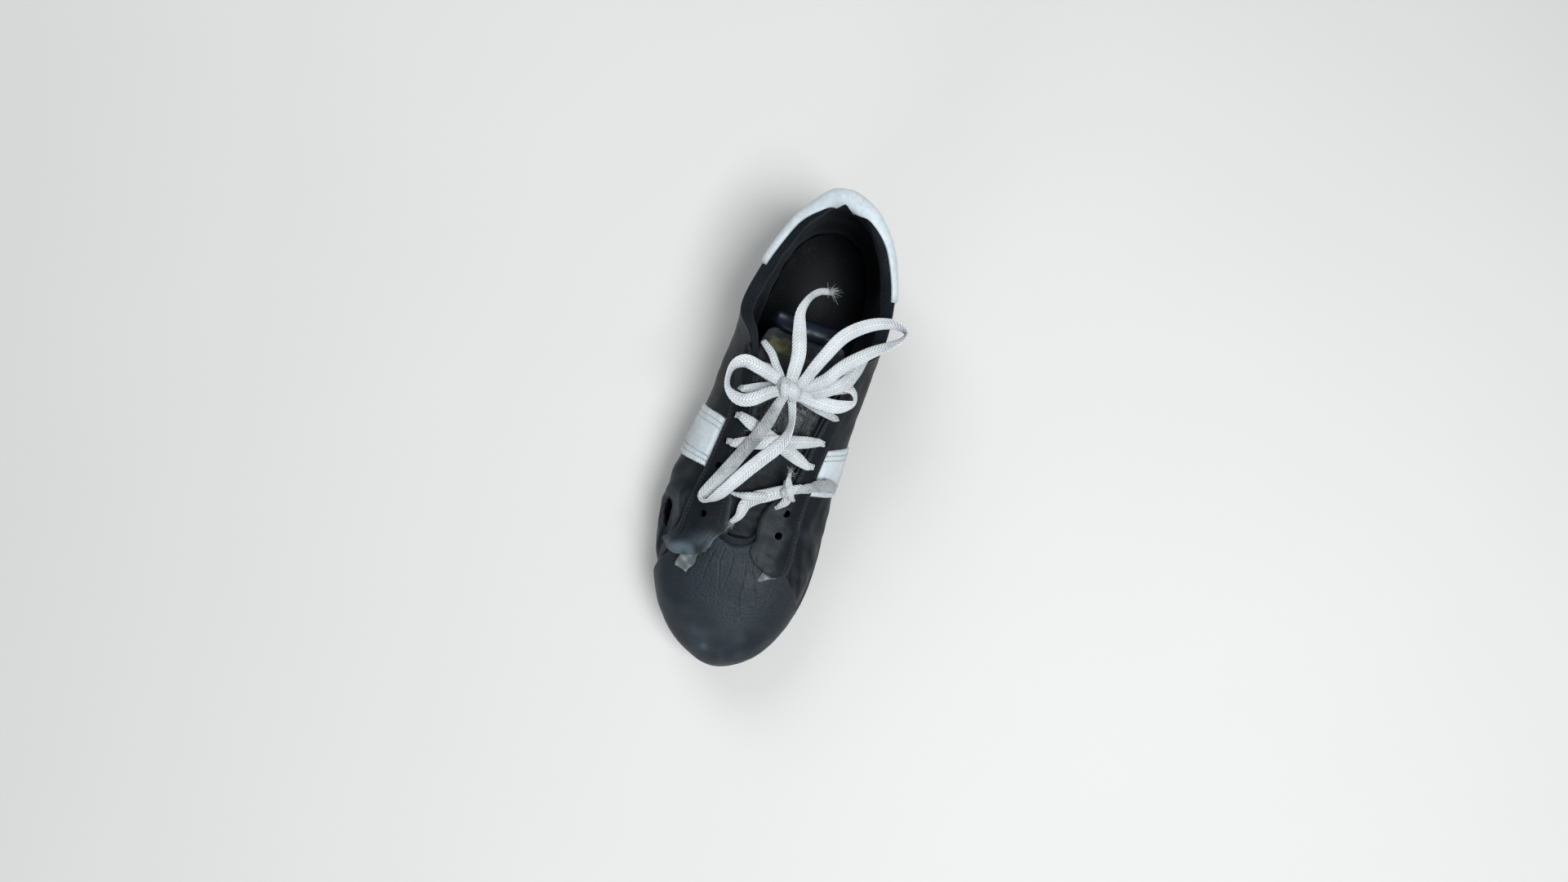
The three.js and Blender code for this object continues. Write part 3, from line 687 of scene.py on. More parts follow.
    @classmethod
    def prism(cls, s: float, w: float, length: float, width: float, ragged: float = 0.0) -> Piece:
        """Cutter through the wall.

        Args:
            s: section of its middle.
            w: height of its middle.
            length: half length along the section ring, in millimetres.
            width: half width up the wall, in millimetres.
            ragged: unevenness of its outline, as a share.

        Returns:
            The cutter.
        """
        spot = np.array(s), np.array(w)
        normal = FORM.normal(*spot)
        along = FORM.skin(s + 0.04, spot[1]) - FORM.skin(s - 0.04, spot[1])
        along = unit(along - (along @ normal) * normal)
        bpy.ops.object.select_all(action="DESELECT")
        bpy.ops.mesh.primitive_cylinder_add(vertices=40 if ragged else 20, radius=1, depth=2)
        piece = bpy.context.object
        flat = cls.points(piece)
        angle = np.arctan2(flat[:, 1], flat[:, 0])
        lobes = np.sin(angle * 3 + 1) + 0.7 * np.sin(angle * 7) + 0.5 * np.sin(angle * 13 + 2)
        grow = (1 + ragged * lobes / 2)[:, None]
        out = along * (flat[:, :1] * length * grow)
        out = out + np.cross(normal, along) * (flat[:, 1:2] * width * grow)
        cls.put(piece, (FORM.skin(*spot) + out + normal * flat[:, 2:] * 8) * MM)
        return piece

    @classmethod
    def cut(cls, piece: Piece, tools: Sequence[Piece]) -> None:
        """Cuts tools out of a piece and throws them away.

        Args:
            piece: the mesh that is cut.
            tools: cutters.
        """
        for tool in tools:
            cls.mend(tool)
        cutter = cls.join("cutter", tools)
        cls.modify(piece, "BOOLEAN", object=cutter, operation="DIFFERENCE", solver="EXACT")
        bpy.data.objects.remove(cutter, do_unlink=True)

    @staticmethod
    def paint(piece: Piece, **numbers: Array) -> None:
        """Keeps numbers for the vertices as attributes that a finish can read.

        Args:
            piece: the mesh.
            numbers: one number a vertex, by the attribute's name.
        """
        for name, values in numbers.items():
            layer = piece.data.attributes.new(name, "FLOAT", "POINT")
            layer.data.foreach_set("value", np.asarray(values, np.float32))

    @staticmethod
    def dress(piece: Piece, *finishes: bpy.types.Material) -> None:
        """Gives a piece its materials.

        Args:
            piece: the mesh.
            finishes: materials in the order of their slots.
        """
        piece.data.materials.clear()
        for finish in finishes:
            piece.data.materials.append(finish)


class Wire:
    """Number or colour inside a finish, with arithmetic that adds Math nodes."""

    def __init__(self, board: "Board", socket: bpy.types.NodeSocket) -> None:
        """Holds a socket of a board."""
        self.board = board
        self.socket = socket

    def _math(self, operation: str, first: Value, second: Value = 0.0) -> "Wire":
        """One Math node of two values."""
        made = self.board.node("ShaderNodeMath", {"operation": operation}, {0: first, 1: second})
        return Wire(self.board, made.outputs[0])

    def __add__(self, other: Value) -> "Wire":
        """Sum."""
        return self._math("ADD", self, other)

    def __radd__(self, other: Value) -> "Wire":
        """Reflected sum."""
        return self._math("ADD", other, self)

    def __sub__(self, other: Value) -> "Wire":
        """Difference."""
        return self._math("SUBTRACT", self, other)

    def __rsub__(self, other: Value) -> "Wire":
        """Reflected difference."""
        return self._math("SUBTRACT", other, self)

    def __mul__(self, other: Value) -> "Wire":
        """Product."""
        return self._math("MULTIPLY", self, other)

    def __rmul__(self, other: Value) -> "Wire":
        """Reflected product."""
        return self._math("MULTIPLY", other, self)

    def __truediv__(self, other: Value) -> "Wire":
        """Quotient."""
        return self._math("DIVIDE", self, other)

    def __rtruediv__(self, other: Value) -> "Wire":
        """Reflected quotient."""
        return self._math("DIVIDE", other, self)

    def sine(self) -> "Wire":
        """Sine of an angle in radians."""
        return self._math("SINE", self)

    def size(self) -> "Wire":
        """Absolute value."""
        return self._math("ABSOLUTE", self)

    def least(self, other: Value) -> "Wire":
        """Smaller of two."""
        return self._math("MINIMUM", self, other)

    def step(self, low: float, high: float) -> "Wire":
        """Soft step from 0 at low to 1 at high.

        Args:
            low: where the step starts.
            high: where it ends.

        Returns:
            The stepped number.
        """
        settings = {"interpolation_type": "SMOOTHSTEP", "clamp": True}
        inputs = {0: self, 1: low, 2: high, 3: 0.0, 4: 1.0}
        return Wire(self.board, self.board.node("ShaderNodeMapRange", settings, inputs).outputs[0])


class Board:
    """Node tree of one finish."""

    def __init__(self, name: str) -> None:
        """Starts a material with one Principled shader.

        Args:
            name: name of the material.
        """
        self.material = bpy.data.materials.new(name)
        self.material.use_nodes = True
        self.tree = self.material.node_tree
        self.tree.nodes.clear()
        self.shader = self.node("ShaderNodeBsdfPrincipled")
        self.node("ShaderNodeOutputMaterial", None, {0: self.shader.outputs[0]})
        self.spot = self.node("ShaderNodeTexCoord").outputs["Object"]

    def node(
        self, kind: str, settings: dict[str, object] | None = None,
        inputs: dict[object, object] | None = None,
    ) -> bpy.types.Node:
        """Adds a node with its settings and inputs.

        Args:
            kind: node type.
            settings: properties of the node.
            inputs: values, wires or sockets for its inputs, by name or number.

        Returns:
            The new node.
        """
        made = self.tree.nodes.new(kind)
        for name, value in (settings or {}).items():
            setattr(made, name, value)
        for key, value in (inputs or {}).items():
            self.feed(made.inputs[key], value)
        return made

    def feed(self, entry: bpy.types.NodeSocket, value: object) -> None:
        """Links a wire or socket to an input, or sets its number or colour.

        Args:
            entry: the input.
            value: what it gets.
        """
        if isinstance(value, Wire):
            self.tree.links.new(value.socket, entry)
        elif isinstance(value, bpy.types.NodeSocket):
            self.tree.links.new(value, entry)
        elif isinstance(value, (tuple, list)) and entry.type == "RGBA" and len(value) == 3:
            entry.default_value = (*value, 1.0)
        else:
            entry.default_value = value

    def turned(self, scale: Sequence[float], angle: float = 0.0) -> bpy.types.NodeSocket:
        """Coordinates turned about z by an angle in degrees and scaled."""
        inputs = {"Vector": self.spot, "Rotation": (0.0, 0.0, math.radians(angle)), "Scale": scale}
        return self.node("ShaderNodeMapping", None, inputs).outputs[0]

    def uv(self, axis: int) -> Wire:
        """One axis of the piece's own unwrapped coordinates."""
        return self.part(self.node("ShaderNodeUVMap", {"uv_map": "cloth"}).outputs[0], axis)

    def part(self, source: bpy.types.NodeSocket, axis: int) -> Wire:
        """One axis of a vector."""
        return Wire(self, self.node("ShaderNodeSeparateXYZ", None, {0: source}).outputs[axis])

    def noise(
        self, size: float, detail: float = 3.0, rough: float = 0.5, warp: float = 0.0,
        source: bpy.types.NodeSocket | None = None,
    ) -> Wire:
        """Noise from 0 to 1.

        Args:
            size: width of its lumps in millimetres.
            detail: layers of finer noise.
            rough: weight of the finer layers.
            warp: distortion.
            source: coordinates; the object's own if left out.

        Returns:
            The noise.
        """
        inputs = {"Vector": source or self.spot, "Scale": 1 / (size * MM), "Detail": detail}
        inputs |= {"Roughness": rough, "Distortion": warp}
        return Wire(self, self.node("ShaderNodeTexNoise", None, inputs).outputs[0])

    def cells(self, size: float, feature: str = "F1") -> Wire:
        """Distance inside cells of size millimetres."""
        inputs = {"Vector": self.spot, "Scale": 1 / (size * MM), "Randomness": 1.0}
        return Wire(self, self.node("ShaderNodeTexVoronoi", {"feature": feature}, inputs).outputs[0])

    def painted(self, name: str) -> Wire:
        """Number kept on the vertices under a name."""
        return Wire(self, self.node("ShaderNodeAttribute", {"attribute_name": name}).outputs["Fac"])

    def mix(self, share: Value, first: Value, second: Value) -> Wire:
        """Blend of two colours."""
        settings = {"data_type": "RGBA", "clamp_factor": True}
        return Wire(self, self.node("ShaderNodeMix", settings, {0: share, 6: first, 7: second}).outputs[2])

    def bump(
        self, height: Wire, depth: float, under: bpy.types.NodeSocket | None = None,
    ) -> bpy.types.NodeSocket:
        """Fine relief.

        Args:
            height: height from 0 to 1.
            depth: millimetres of height 1.
            under: coarser relief that it lies on.

        Returns:
            The normal.
        """
        inputs = {"Height": height, "Distance": depth * MM, "Strength": 1.0}
        if under is not None:
            inputs["Normal"] = under
        return self.node("ShaderNodeBump", None, inputs).outputs[0]

    def done(
        self, colour: Value, rough: Value, relief: bpy.types.NodeSocket, **constants: float,
    ) -> bpy.types.Material:
        """Feeds the shader and returns the material.

        Args:
            colour: base colour.
            rough: roughness.
            relief: normal from bump nodes.
            constants: other shader inputs, words joined by underscores.

        Returns:
            The finished material.
        """
        inputs = {"Base Color": colour, "Roughness": rough, "Normal": relief}
        inputs |= {name.replace("_", " "): value for name, value in constants.items()}
        for name, value in inputs.items():
            self.feed(self.shader.inputs[name], value)
        return self.material


@dataclass(frozen=True)
class Leather:
    """Grained leather with scuffed high spots, dust in its folds, painted shade in broad patches and a soft
    shine.
    """

    name: str
    colour: Colour
    worn: Colour
    dust: Colour = (0.1, 0.108, 0.112)
    pebble: float = 1.1
    pebble_depth: float = 0.1
    rough: float = 0.46
    coat: float = 0.02
    shine: float = 0.2
    dust_share: float = 0.25
    scuffs: float = 0.14
    smooth_attribute: str = ""

    def material(self) -> bpy.types.Material:
        """Builds the finish.

        Returns:
            The finished material.
        """
        b = Board(self.name)
        broad = b.noise(38, 4, 0.55)
        patch = b.noise(9, 4, 0.6, 0.4)
        fine = b.noise(0.6, 2, 0.6)
        warped = b.noise(2.4, 2)
        grain = b.cells(self.pebble, "SMOOTH_F1") * 0.75 + b.cells(self.pebble * 0.45) * 0.3
        wear = b.painted("wear")
        fold = b.painted("fold")
        rub = (patch * 0.9 + broad * 0.5).step(0.62, 0.98) * self.scuffs + wear
        # Painted shade: broad patches darkened to 0.72 of the leather's colour.
        painted_shade_patches = (broad * 0.7 + warped * 0.3).step(0.35, 0.7)
        tone = b.mix(painted_shade_patches, self.colour, shade(self.colour, 0.72))
        tone = b.mix((rub * (0.65 + fine * 0.7)).step(0.1, 1.05), tone, self.worn)
        specks = (fine * 0.6 + patch * 0.6).step(0.66, 0.86)
        tone = b.mix((fold * 0.55 + specks * 0.35) * self.dust_share, tone, self.dust)
        flat = b.painted(self.smooth_attribute) if self.smooth_attribute else wear * 0.6
        relief = b.bump(grain * (1.0 - flat.least(0.92)), self.pebble_depth)
        relief = b.bump(patch * 0.6 + warped * 0.4, 0.22, relief)
        relief = b.bump(fine, 0.02, relief)
        rough = self.rough + rub * 0.16 + fold * 0.12 + (fine - 0.5) * 0.12 + (broad - 0.5) * 0.16
        gloss = {"Coat_Weight": self.coat, "Coat_Roughness": 0.35, "Specular_IOR_Level": self.shine}
        return b.done(tone, rough, relief, **gloss)


@dataclass(frozen=True)
class Rubber:
    """Moulded rubber, matt, with grey scuffs and fine tread lines below."""

    name: str
    colour: Colour = (0.0125, 0.013, 0.0145)
    scuff: Colour = (0.085, 0.083, 0.08)

    def material(self) -> bpy.types.Material:
        """Builds the finish.

        Returns:
            The finished material.
        """
        b = Board(self.name)
        broad = b.noise(30, 4, 0.6)
        fine = b.noise(0.7, 3, 0.6)
        streak = b.noise(5, 4, 0.65, 0.6, b.turned((0.35, 1, 2.2)))
        foot = b.painted("tread")
        x, y = (b.part(b.spot, axis) for axis in range(2))
        lines = (x / (1.5 * MM) + (y / (7 * MM)).sine() * 2.2).sine() * 0.5 + 0.5
        dirt_and_shade = (streak * 0.75 + broad * 0.45).step(0.6, 0.92) + foot * 0.35 * broad
        tone = b.mix(dirt_and_shade * 0.7, self.colour, self.scuff)
        relief = b.bump(lines.step(0.3, 0.7) * foot, 0.5)
        relief = b.bump(fine * 0.5 + streak * 0.5, 0.09, relief)
        return b.done(tone, 0.58 + dirt_and_shade * 0.2 + (fine - 0.5) * 0.14, relief, Specular_IOR_Level=0.4)


@dataclass(frozen=True)
class MeshCloth:
    """Knitted lining: rows of tiny loops with pilling and lint."""

    name: str
    colour: Colour
    lint: Colour
    pitch: float = 1.3
    lint_share: float = 0.35

    def material(self) -> bpy.types.Material:
        """Builds the finish.

        Returns:
            The finished material.
        """
        b = Board(self.name)
        wave = 2 * math.pi / (self.pitch * MM)
        x, y, z = (b.part(b.spot, axis) for axis in range(3))
        rows = (x * wave).sine() + ((y + z) * wave).sine() + ((z - y) * wave * 0.9).sine()
        knit = rows / 6 + 0.5
        broad = b.noise(22, 4, 0.6)
        fluff = b.noise(1.6, 5, 0.7, 0.8)
        tone = b.mix(knit.step(0.2, 0.75), shade(self.colour, 0.45), self.colour)
        tone = b.mix((fluff * 0.7 + broad * 0.5).step(0.62, 0.85) * self.lint_share, tone, self.lint)
        tone = b.mix(b.painted("wear") * 0.85, tone, self.lint)
        relief = b.bump(fluff, 0.25, b.bump(knit, 0.28))
        return b.done(tone, 0.92, relief, Sheen_Weight=0.04, Sheen_Roughness=0.5, Specular_IOR_Level=0.1)


@dataclass(frozen=True)
class LaceCloth:
    """Flat braided cotton, white gone grey with dirt and painted shade, read along the tape's own length."""

    name: str
    colour: Colour = (0.75, 0.745, 0.735)
    # Grey of the dirt and of the painted shade.
    dirt_and_shade: Colour = (0.2, 0.198, 0.192)

    def material(self) -> bpy.types.Material:
        """Builds the finish.

        Returns:
            The finished material.
        """
        b = Board(self.name)
        along, across = b.uv(0), b.uv(1)
        wave = 2 * math.pi / (1.9 * MM)
        ribs = (across * (wave * 0.8)).sine().size() + 0.25
        weave = ((along + across.size() * 0.9) * wave).sine() * ribs * 0.4 + 0.5
        broad = b.noise(14, 4, 0.6)
        fine = b.noise(0.8, 4, 0.7)
        wear = b.painted("wear")
        edge = across.size().step(2.6 * MM, 4.2 * MM)
        # Dirt and painted shade together: broad grey patches, more where the cord is greyed, a little grey
        # along the tape's edges, and the grey painted along each cord.
        grime_and_shade = (broad * 0.85 + fine * 0.35).step(0.5, 0.95) * (0.36 + wear * 0.6)
        tone = b.mix(grime_and_shade + edge * 0.1 + wear * 0.62, self.colour, self.dirt_and_shade)
        # Painted shade: the low parts of the weave are darkened to 0.55 of the lace's colour.
        tone = b.mix((0.5 - weave).step(0.0, 0.5) * 0.5, tone, shade(self.colour, 0.55))
        relief = b.bump(fine, 0.12, b.bump(weave, 0.7))
        return b.done(tone, 0.88, relief, Sheen_Weight=0.2, Sheen_Roughness=0.5, Specular_IOR_Level=0.25)


@dataclass(frozen=True)
class Thread:
    """Sewing thread or loose fibre."""

    name: str
    colour: Colour
    rough: float = 0.7

    def material(self) -> bpy.types.Material:
        """Builds the finish.

        Returns:
            The finished material.
        """
        b = Board(self.name)
        twist = b.noise(0.7, 2)
        tone = b.mix(b.noise(12, 3).step(0.35, 0.75), self.colour, shade(self.colour, 0.6))
        rough = self.rough + (twist - 0.5) * 0.2
        return b.done(tone, rough, b.bump(twist, 0.08), Specular_IOR_Level=0.3)


@dataclass(frozen=True)
class TongueCloth:
    """Tongue fabric: black, rubbed to olive where a patch has worn through, grey where it frays."""

    name: str
    colour: Colour = (0.009, 0.01, 0.0115)
    olive: Colour = (0.085, 0.078, 0.024)
    moss: Colour = (0.035, 0.03, 0.016)
    grey: Colour = (0.13, 0.135, 0.13)

    def material(self) -> bpy.types.Material:
        """Builds the finish.

        Returns:
            The finished material.
        """
        b = Board(self.name)
        fluff = b.noise(1.3, 5, 0.7, 1.2)
        broad = b.noise(7, 4, 0.6, 0.8)
        strands = b.noise(1.0, 3, 0.6, 0.5, b.turned((0.25, 1.6, 1.0), 20))
        olive = b.mix(strands.step(0.3, 0.75), self.olive, self.moss)
        tone = b.mix(broad.step(0.35, 0.7), self.colour, shade(self.colour, 1.9))
        tone = b.mix((b.painted("patch") * (0.4 + fluff * 1.1)).step(0.35, 0.75), tone, olive)
        tone = b.mix((b.painted("wear") * (strands + broad * 0.6)).step(0.42, 0.85), tone, self.grey)
        relief = b.bump(fluff, 0.5, b.bump(strands, 0.5))
        rough = 0.86 + (fluff - 0.5) * 0.15
        return b.done(tone, rough, relief, Sheen_Weight=0.2, Sheen_Roughness=0.5, Specular_IOR_Level=0.25)


class Palette:
    """Every finish of the shoe, made once."""

    def __init__(self) -> None:
        """Builds the materials."""
        # The worn colour also serves as the painted highlight on the lateral stay's up-facing front.
        self.quarter = Leather(
            "black_leather", (0.0062, 0.0082, 0.0105), (0.085, 0.104, 0.118), shine=0.15,
        ).material()
        self.cap = Leather(
            "cap_leather", (0.0115, 0.0158, 0.0208), (0.043, 0.055, 0.066), pebble=1.25, pebble_depth=0.6,
            rough=0.5, coat=0.06, shine=0.26, smooth_attribute="flat",
        ).material()
        self.white = Leather(
            "white_leather", (0.585, 0.615, 0.62), (0.4, 0.41, 0.41), dust=(0.3, 0.29, 0.265), pebble=0.9,
            pebble_depth=0.05, rough=0.5, dust_share=0.55, scuffs=0.35,
        ).material()
        self.suede = Leather(
            "raw_leather", (0.1, 0.105, 0.1), (0.24, 0.245, 0.235), pebble=0.5, pebble_depth=0.1,
            rough=0.85, coat=0.0,
        ).material()
        self.roll = Leather(
            "satin_roll", (0.0045, 0.0075, 0.018), (0.01, 0.017, 0.038), pebble=0.6, pebble_depth=0.03,
            rough=0.34, coat=0.12, shine=0.34,
        ).material()
        self.rubber = Rubber("black_rubber").material()
        self.lining = MeshCloth(
            "black_lining", (0.0075, 0.0098, 0.0135), (0.045, 0.05, 0.056), lint_share=0.25,
        ).material()
        self.insole = MeshCloth(
            "insole_cloth", (0.006, 0.0066, 0.0078), (0.05, 0.05, 0.05), pitch=1.8, lint_share=0.4,
        ).material()
        self.tongue = TongueCloth("tongue_cloth").material()
        self.lace = LaceCloth("white_lace").material()
        self.black_thread = Thread("black_thread", (0.03, 0.032, 0.036)).material()
        self.grey_thread = Thread("grey_thread", (0.33, 0.34, 0.35)).material()
        self.fray = Thread("fray", (0.42, 0.42, 0.4), 0.9).material()


@dataclass
class Studio:
    """Camera at the photograph's angle, pale floor and soft lights."""

    eye: Point = (42.8, 2.66, 522.7)
    ahead: Point = (-0.0847, 0.0117, -0.9963)
    right: Point = (-0.2769, 0.9603, 0.0348)
    lens: float = 18.75
    sensor: float = 36.0
    lamps: tuple[tuple[str, Point, Point, float, float], ...] = (
        ("key", (0.25, 0.55, 1.35), (0.0, 0.0, 0.04), 0.7, 24.0),
        ("window", (-0.85, -0.75, 1.0), (0.0, 0.0, 0.04), 0.8, 10.0),
        ("front", (1.4, -0.4, 0.6), (0.05, 0.0, 0.04), 0.7, 6.0),
    )
    lamp_colour: Colour = (0.86, 0.94, 1.0)
    sky_colour: Colour = (0.8, 0.89, 0.97)
    sky_power: float = 0.2
    floor_size: float = 9000.0
    floor_tones: tuple[Colour, Colour] = ((0.63, 0.582, 0.545), (0.655, 0.605, 0.565))

    def camera(self) -> None:
        """Adds the camera."""
        data = bpy.data.cameras.new("camera")
        data.lens = self.lens
        data.sensor_width = self.sensor
        data.clip_start = 0.01
        piece = bpy.data.objects.new("camera", data)
        bpy.context.scene.collection.objects.link(piece)
        back = -Vector(self.ahead).normalized()
        side = Vector(self.right)
        side = (side - side.dot(back) * back).normalized()
        up = back.cross(side)
        turn = Matrix((side, up, back)).transposed().to_4x4()
        piece.matrix_world = Matrix.Translation(Vector(self.eye) * MM) @ turn
        bpy.context.scene.camera = piece

    def lights(self) -> None:
        """Adds three large soft lights and a pale sky."""
        for name, place, aim, size, power in self.lamps:
            data = bpy.data.lights.new(name, "AREA")
            data.size = size
            data.energy = power
            data.color = self.lamp_colour
            piece = bpy.data.objects.new(name, data)
            bpy.context.scene.collection.objects.link(piece)
            piece.location = place
            piece.rotation_euler = (Vector(aim) - Vector(place)).to_track_quat("-Z", "Y").to_euler()
        world = bpy.data.worlds.new("sky")
        world.use_nodes = True
        sky = world.node_tree.nodes["Background"]
        sky.inputs[0].default_value = (*self.sky_colour, 1)
        sky.inputs[1].default_value = self.sky_power
        bpy.context.scene.world = world
        bpy.context.scene.view_settings.view_transform = "Standard"

    def floor(self) -> None:
        """Adds the plain pale floor."""

        def place(u: Array, v: Array) -> Array:
            """Point of the floor, just under the sole."""
            return np.stack([(u - 0.5) * self.floor_size, (v - 0.5) * self.floor_size, 0 * u - 0.02], -1)

        piece = Bench.grid("floor", 8, 8, place)
        b = Board("pale_floor")
        tone = b.mix(b.noise(220, 3), *self.floor_tones)
        Bench.dress(piece, b.done(tone, 0.75, b.bump(b.noise(3, 2), 0.02)))


def settle(piece: Piece, slot: str, *nodes: str) -> Piece:
    """Makes a piece part of the shoe.

    Args:
        piece: finished piece.
        slot: material slot of the record; not used.
        nodes: solids that it stands for.

    Returns:
        The same piece.
    """
    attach(piece, BODY)
    if nodes:
        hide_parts(*nodes)
    LOG.info("%s: %d faces", piece.name, len(piece.data.polygons))
    return piece


@dataclass
class Tape:
    """Flat lace along a route of x, y, z in millimetres and roll in degrees."""

    name: str
    route: Route
    width: float = 8.0
    thick: float = 1.15
    wear: tuple[float, ...] = (0.4, 0.1, 0, 0, 0.1, 0.4)
    widths: tuple[float, ...] = (0.6, 0.9, 1, 1, 1, 1, 1, 1, 0.9, 0.6)
    step: float = 0.9
    around: int = 18

    def curve(self) -> tuple[Array, Array, Array]:
        """Smooth run of the route.

        Returns:
            Points, tangents and rolls in radians.
        """
        knots = np.array(self.route, float)
        fine = np.linspace(0, len(knots) - 1, 60 * (len(knots) - 1) + 1)
        walk = walked(self.spline(knots, fine)[:, :3])
        count = max(8, int(walk[-1] / self.step))
        run = self.spline(knots, np.interp(np.linspace(0, walk[-1], count + 1), walk, fine))
        return run[:, :3], unit(np.gradient(run[:, :3], axis=0)), np.radians(run[:, 3])

    @staticmethod
    def spline(knots: Array, t: Array) -> Array:
        """Catmull-Rom spline.

        Args:
            knots: points that it runs through.
            t: places on it, counted in knots.

        Returns:
            Points on the spline.
        """
        padded = np.vstack([2 * knots[0] - knots[1], knots, 2 * knots[-1] - knots[-2]])
        i = np.clip(np.floor(t).astype(int), 0, len(knots) - 2)
        f = (t - i)[:, None]
        a, b, c, d = (padded[i + k] for k in range(4))
        return b + 0.5 * f * (c - a + f * (2 * a - 5 * b + 4 * c - d + f * (3 * (b - c) + d - a)))

    def length(self) -> float:
        """Length in metres."""
        return float(np.linalg.norm(np.diff(self.curve()[0], axis=0), axis=1).sum()) * MM

    def path(self) -> list[Point]:
        """Points that the tape follows, in metres."""
        return [tuple(float(n) for n in p) for p in self.curve()[0] * MM]

    def build(self, seed: int) -> Piece:
        """Builds the tape with soft rounded edges and a slight ripple.

        Args:
            seed: number that fixes its unevenness.

        Returns:
            The new piece, with its own coordinates along and across.
        """
        run, ahead, roll = self.curve()
        side = unit(np.cross([0.0, 0.0, 1.0], ahead))
        wide = side * np.cos(roll)[:, None] + np.cross(ahead, side) * np.sin(roll)[:, None]
        deep = np.cross(ahead, wide)
        walk = walked(run)
        dice = np.random.default_rng(seed)
        uneven = sum(np.sin(walk / dice.uniform(4, 11) + dice.uniform(0, 6)) for _ in range(3)) / 3
        half = self.width / 2 * (0.955 + 0.045 * uneven)
        half = half * np.interp(walk / walk[-1], np.linspace(0, 1, len(self.widths)), self.widths)
        count, around = len(run) - 1, self.around

        def place(u: Array, v: Array) -> Array:
            """Point of the tape at angle u and length v.

            Args:
                u: share round the tape.
                v: share along it.

            Returns:
                Points in millimetres.
            """
            i = np.round(v * count).astype(int)
            c, s = np.cos(2 * math.pi * u), np.sin(2 * math.pi * u)
            flat = np.sign(c) * np.abs(c) ** 0.75
            dip = 1.0 - 0.16 * np.cos(2 * math.pi * np.clip(flat, -1, 1)) * (np.abs(s) > 0.4)
            thick = self.thick / 2 * np.sign(s) * np.abs(s) ** 0.6 * dip
            sag = 0.22 * np.sin(walk[i] / 5.0 + seed) * (1 - flat * flat)
            return run[i] + wide[i] * (half[i] * flat)[:, None] + deep[i] * (thick + sag)[:, None]

        piece = Bench.grid(self.name, around, count, place)
        layers = piece.data.uv_layers
        layer = layers.new(name="cloth")
        loops = Bench.read(piece.data.loops, "vertex_index", np.int32)
        row, spot = loops // (around + 1), loops % (around + 1)
        across = np.cos(2 * math.pi * spot / around) * half[row] * MM
        layer.data.foreach_set("uv", np.stack([walk[row] * MM, across], -1).astype(np.float32).ravel())
        _, share = Bench.shares(around, count)
        Bench.paint(piece, wear=np.interp(share, np.linspace(0, 1, len(self.wear)), self.wear))
        for old in [name for name in layers.keys() if name != "cloth"]:
            layers.remove(layers[old])
        Bench.mend(piece, cap=True)
        Bench.soften(piece)
        return piece


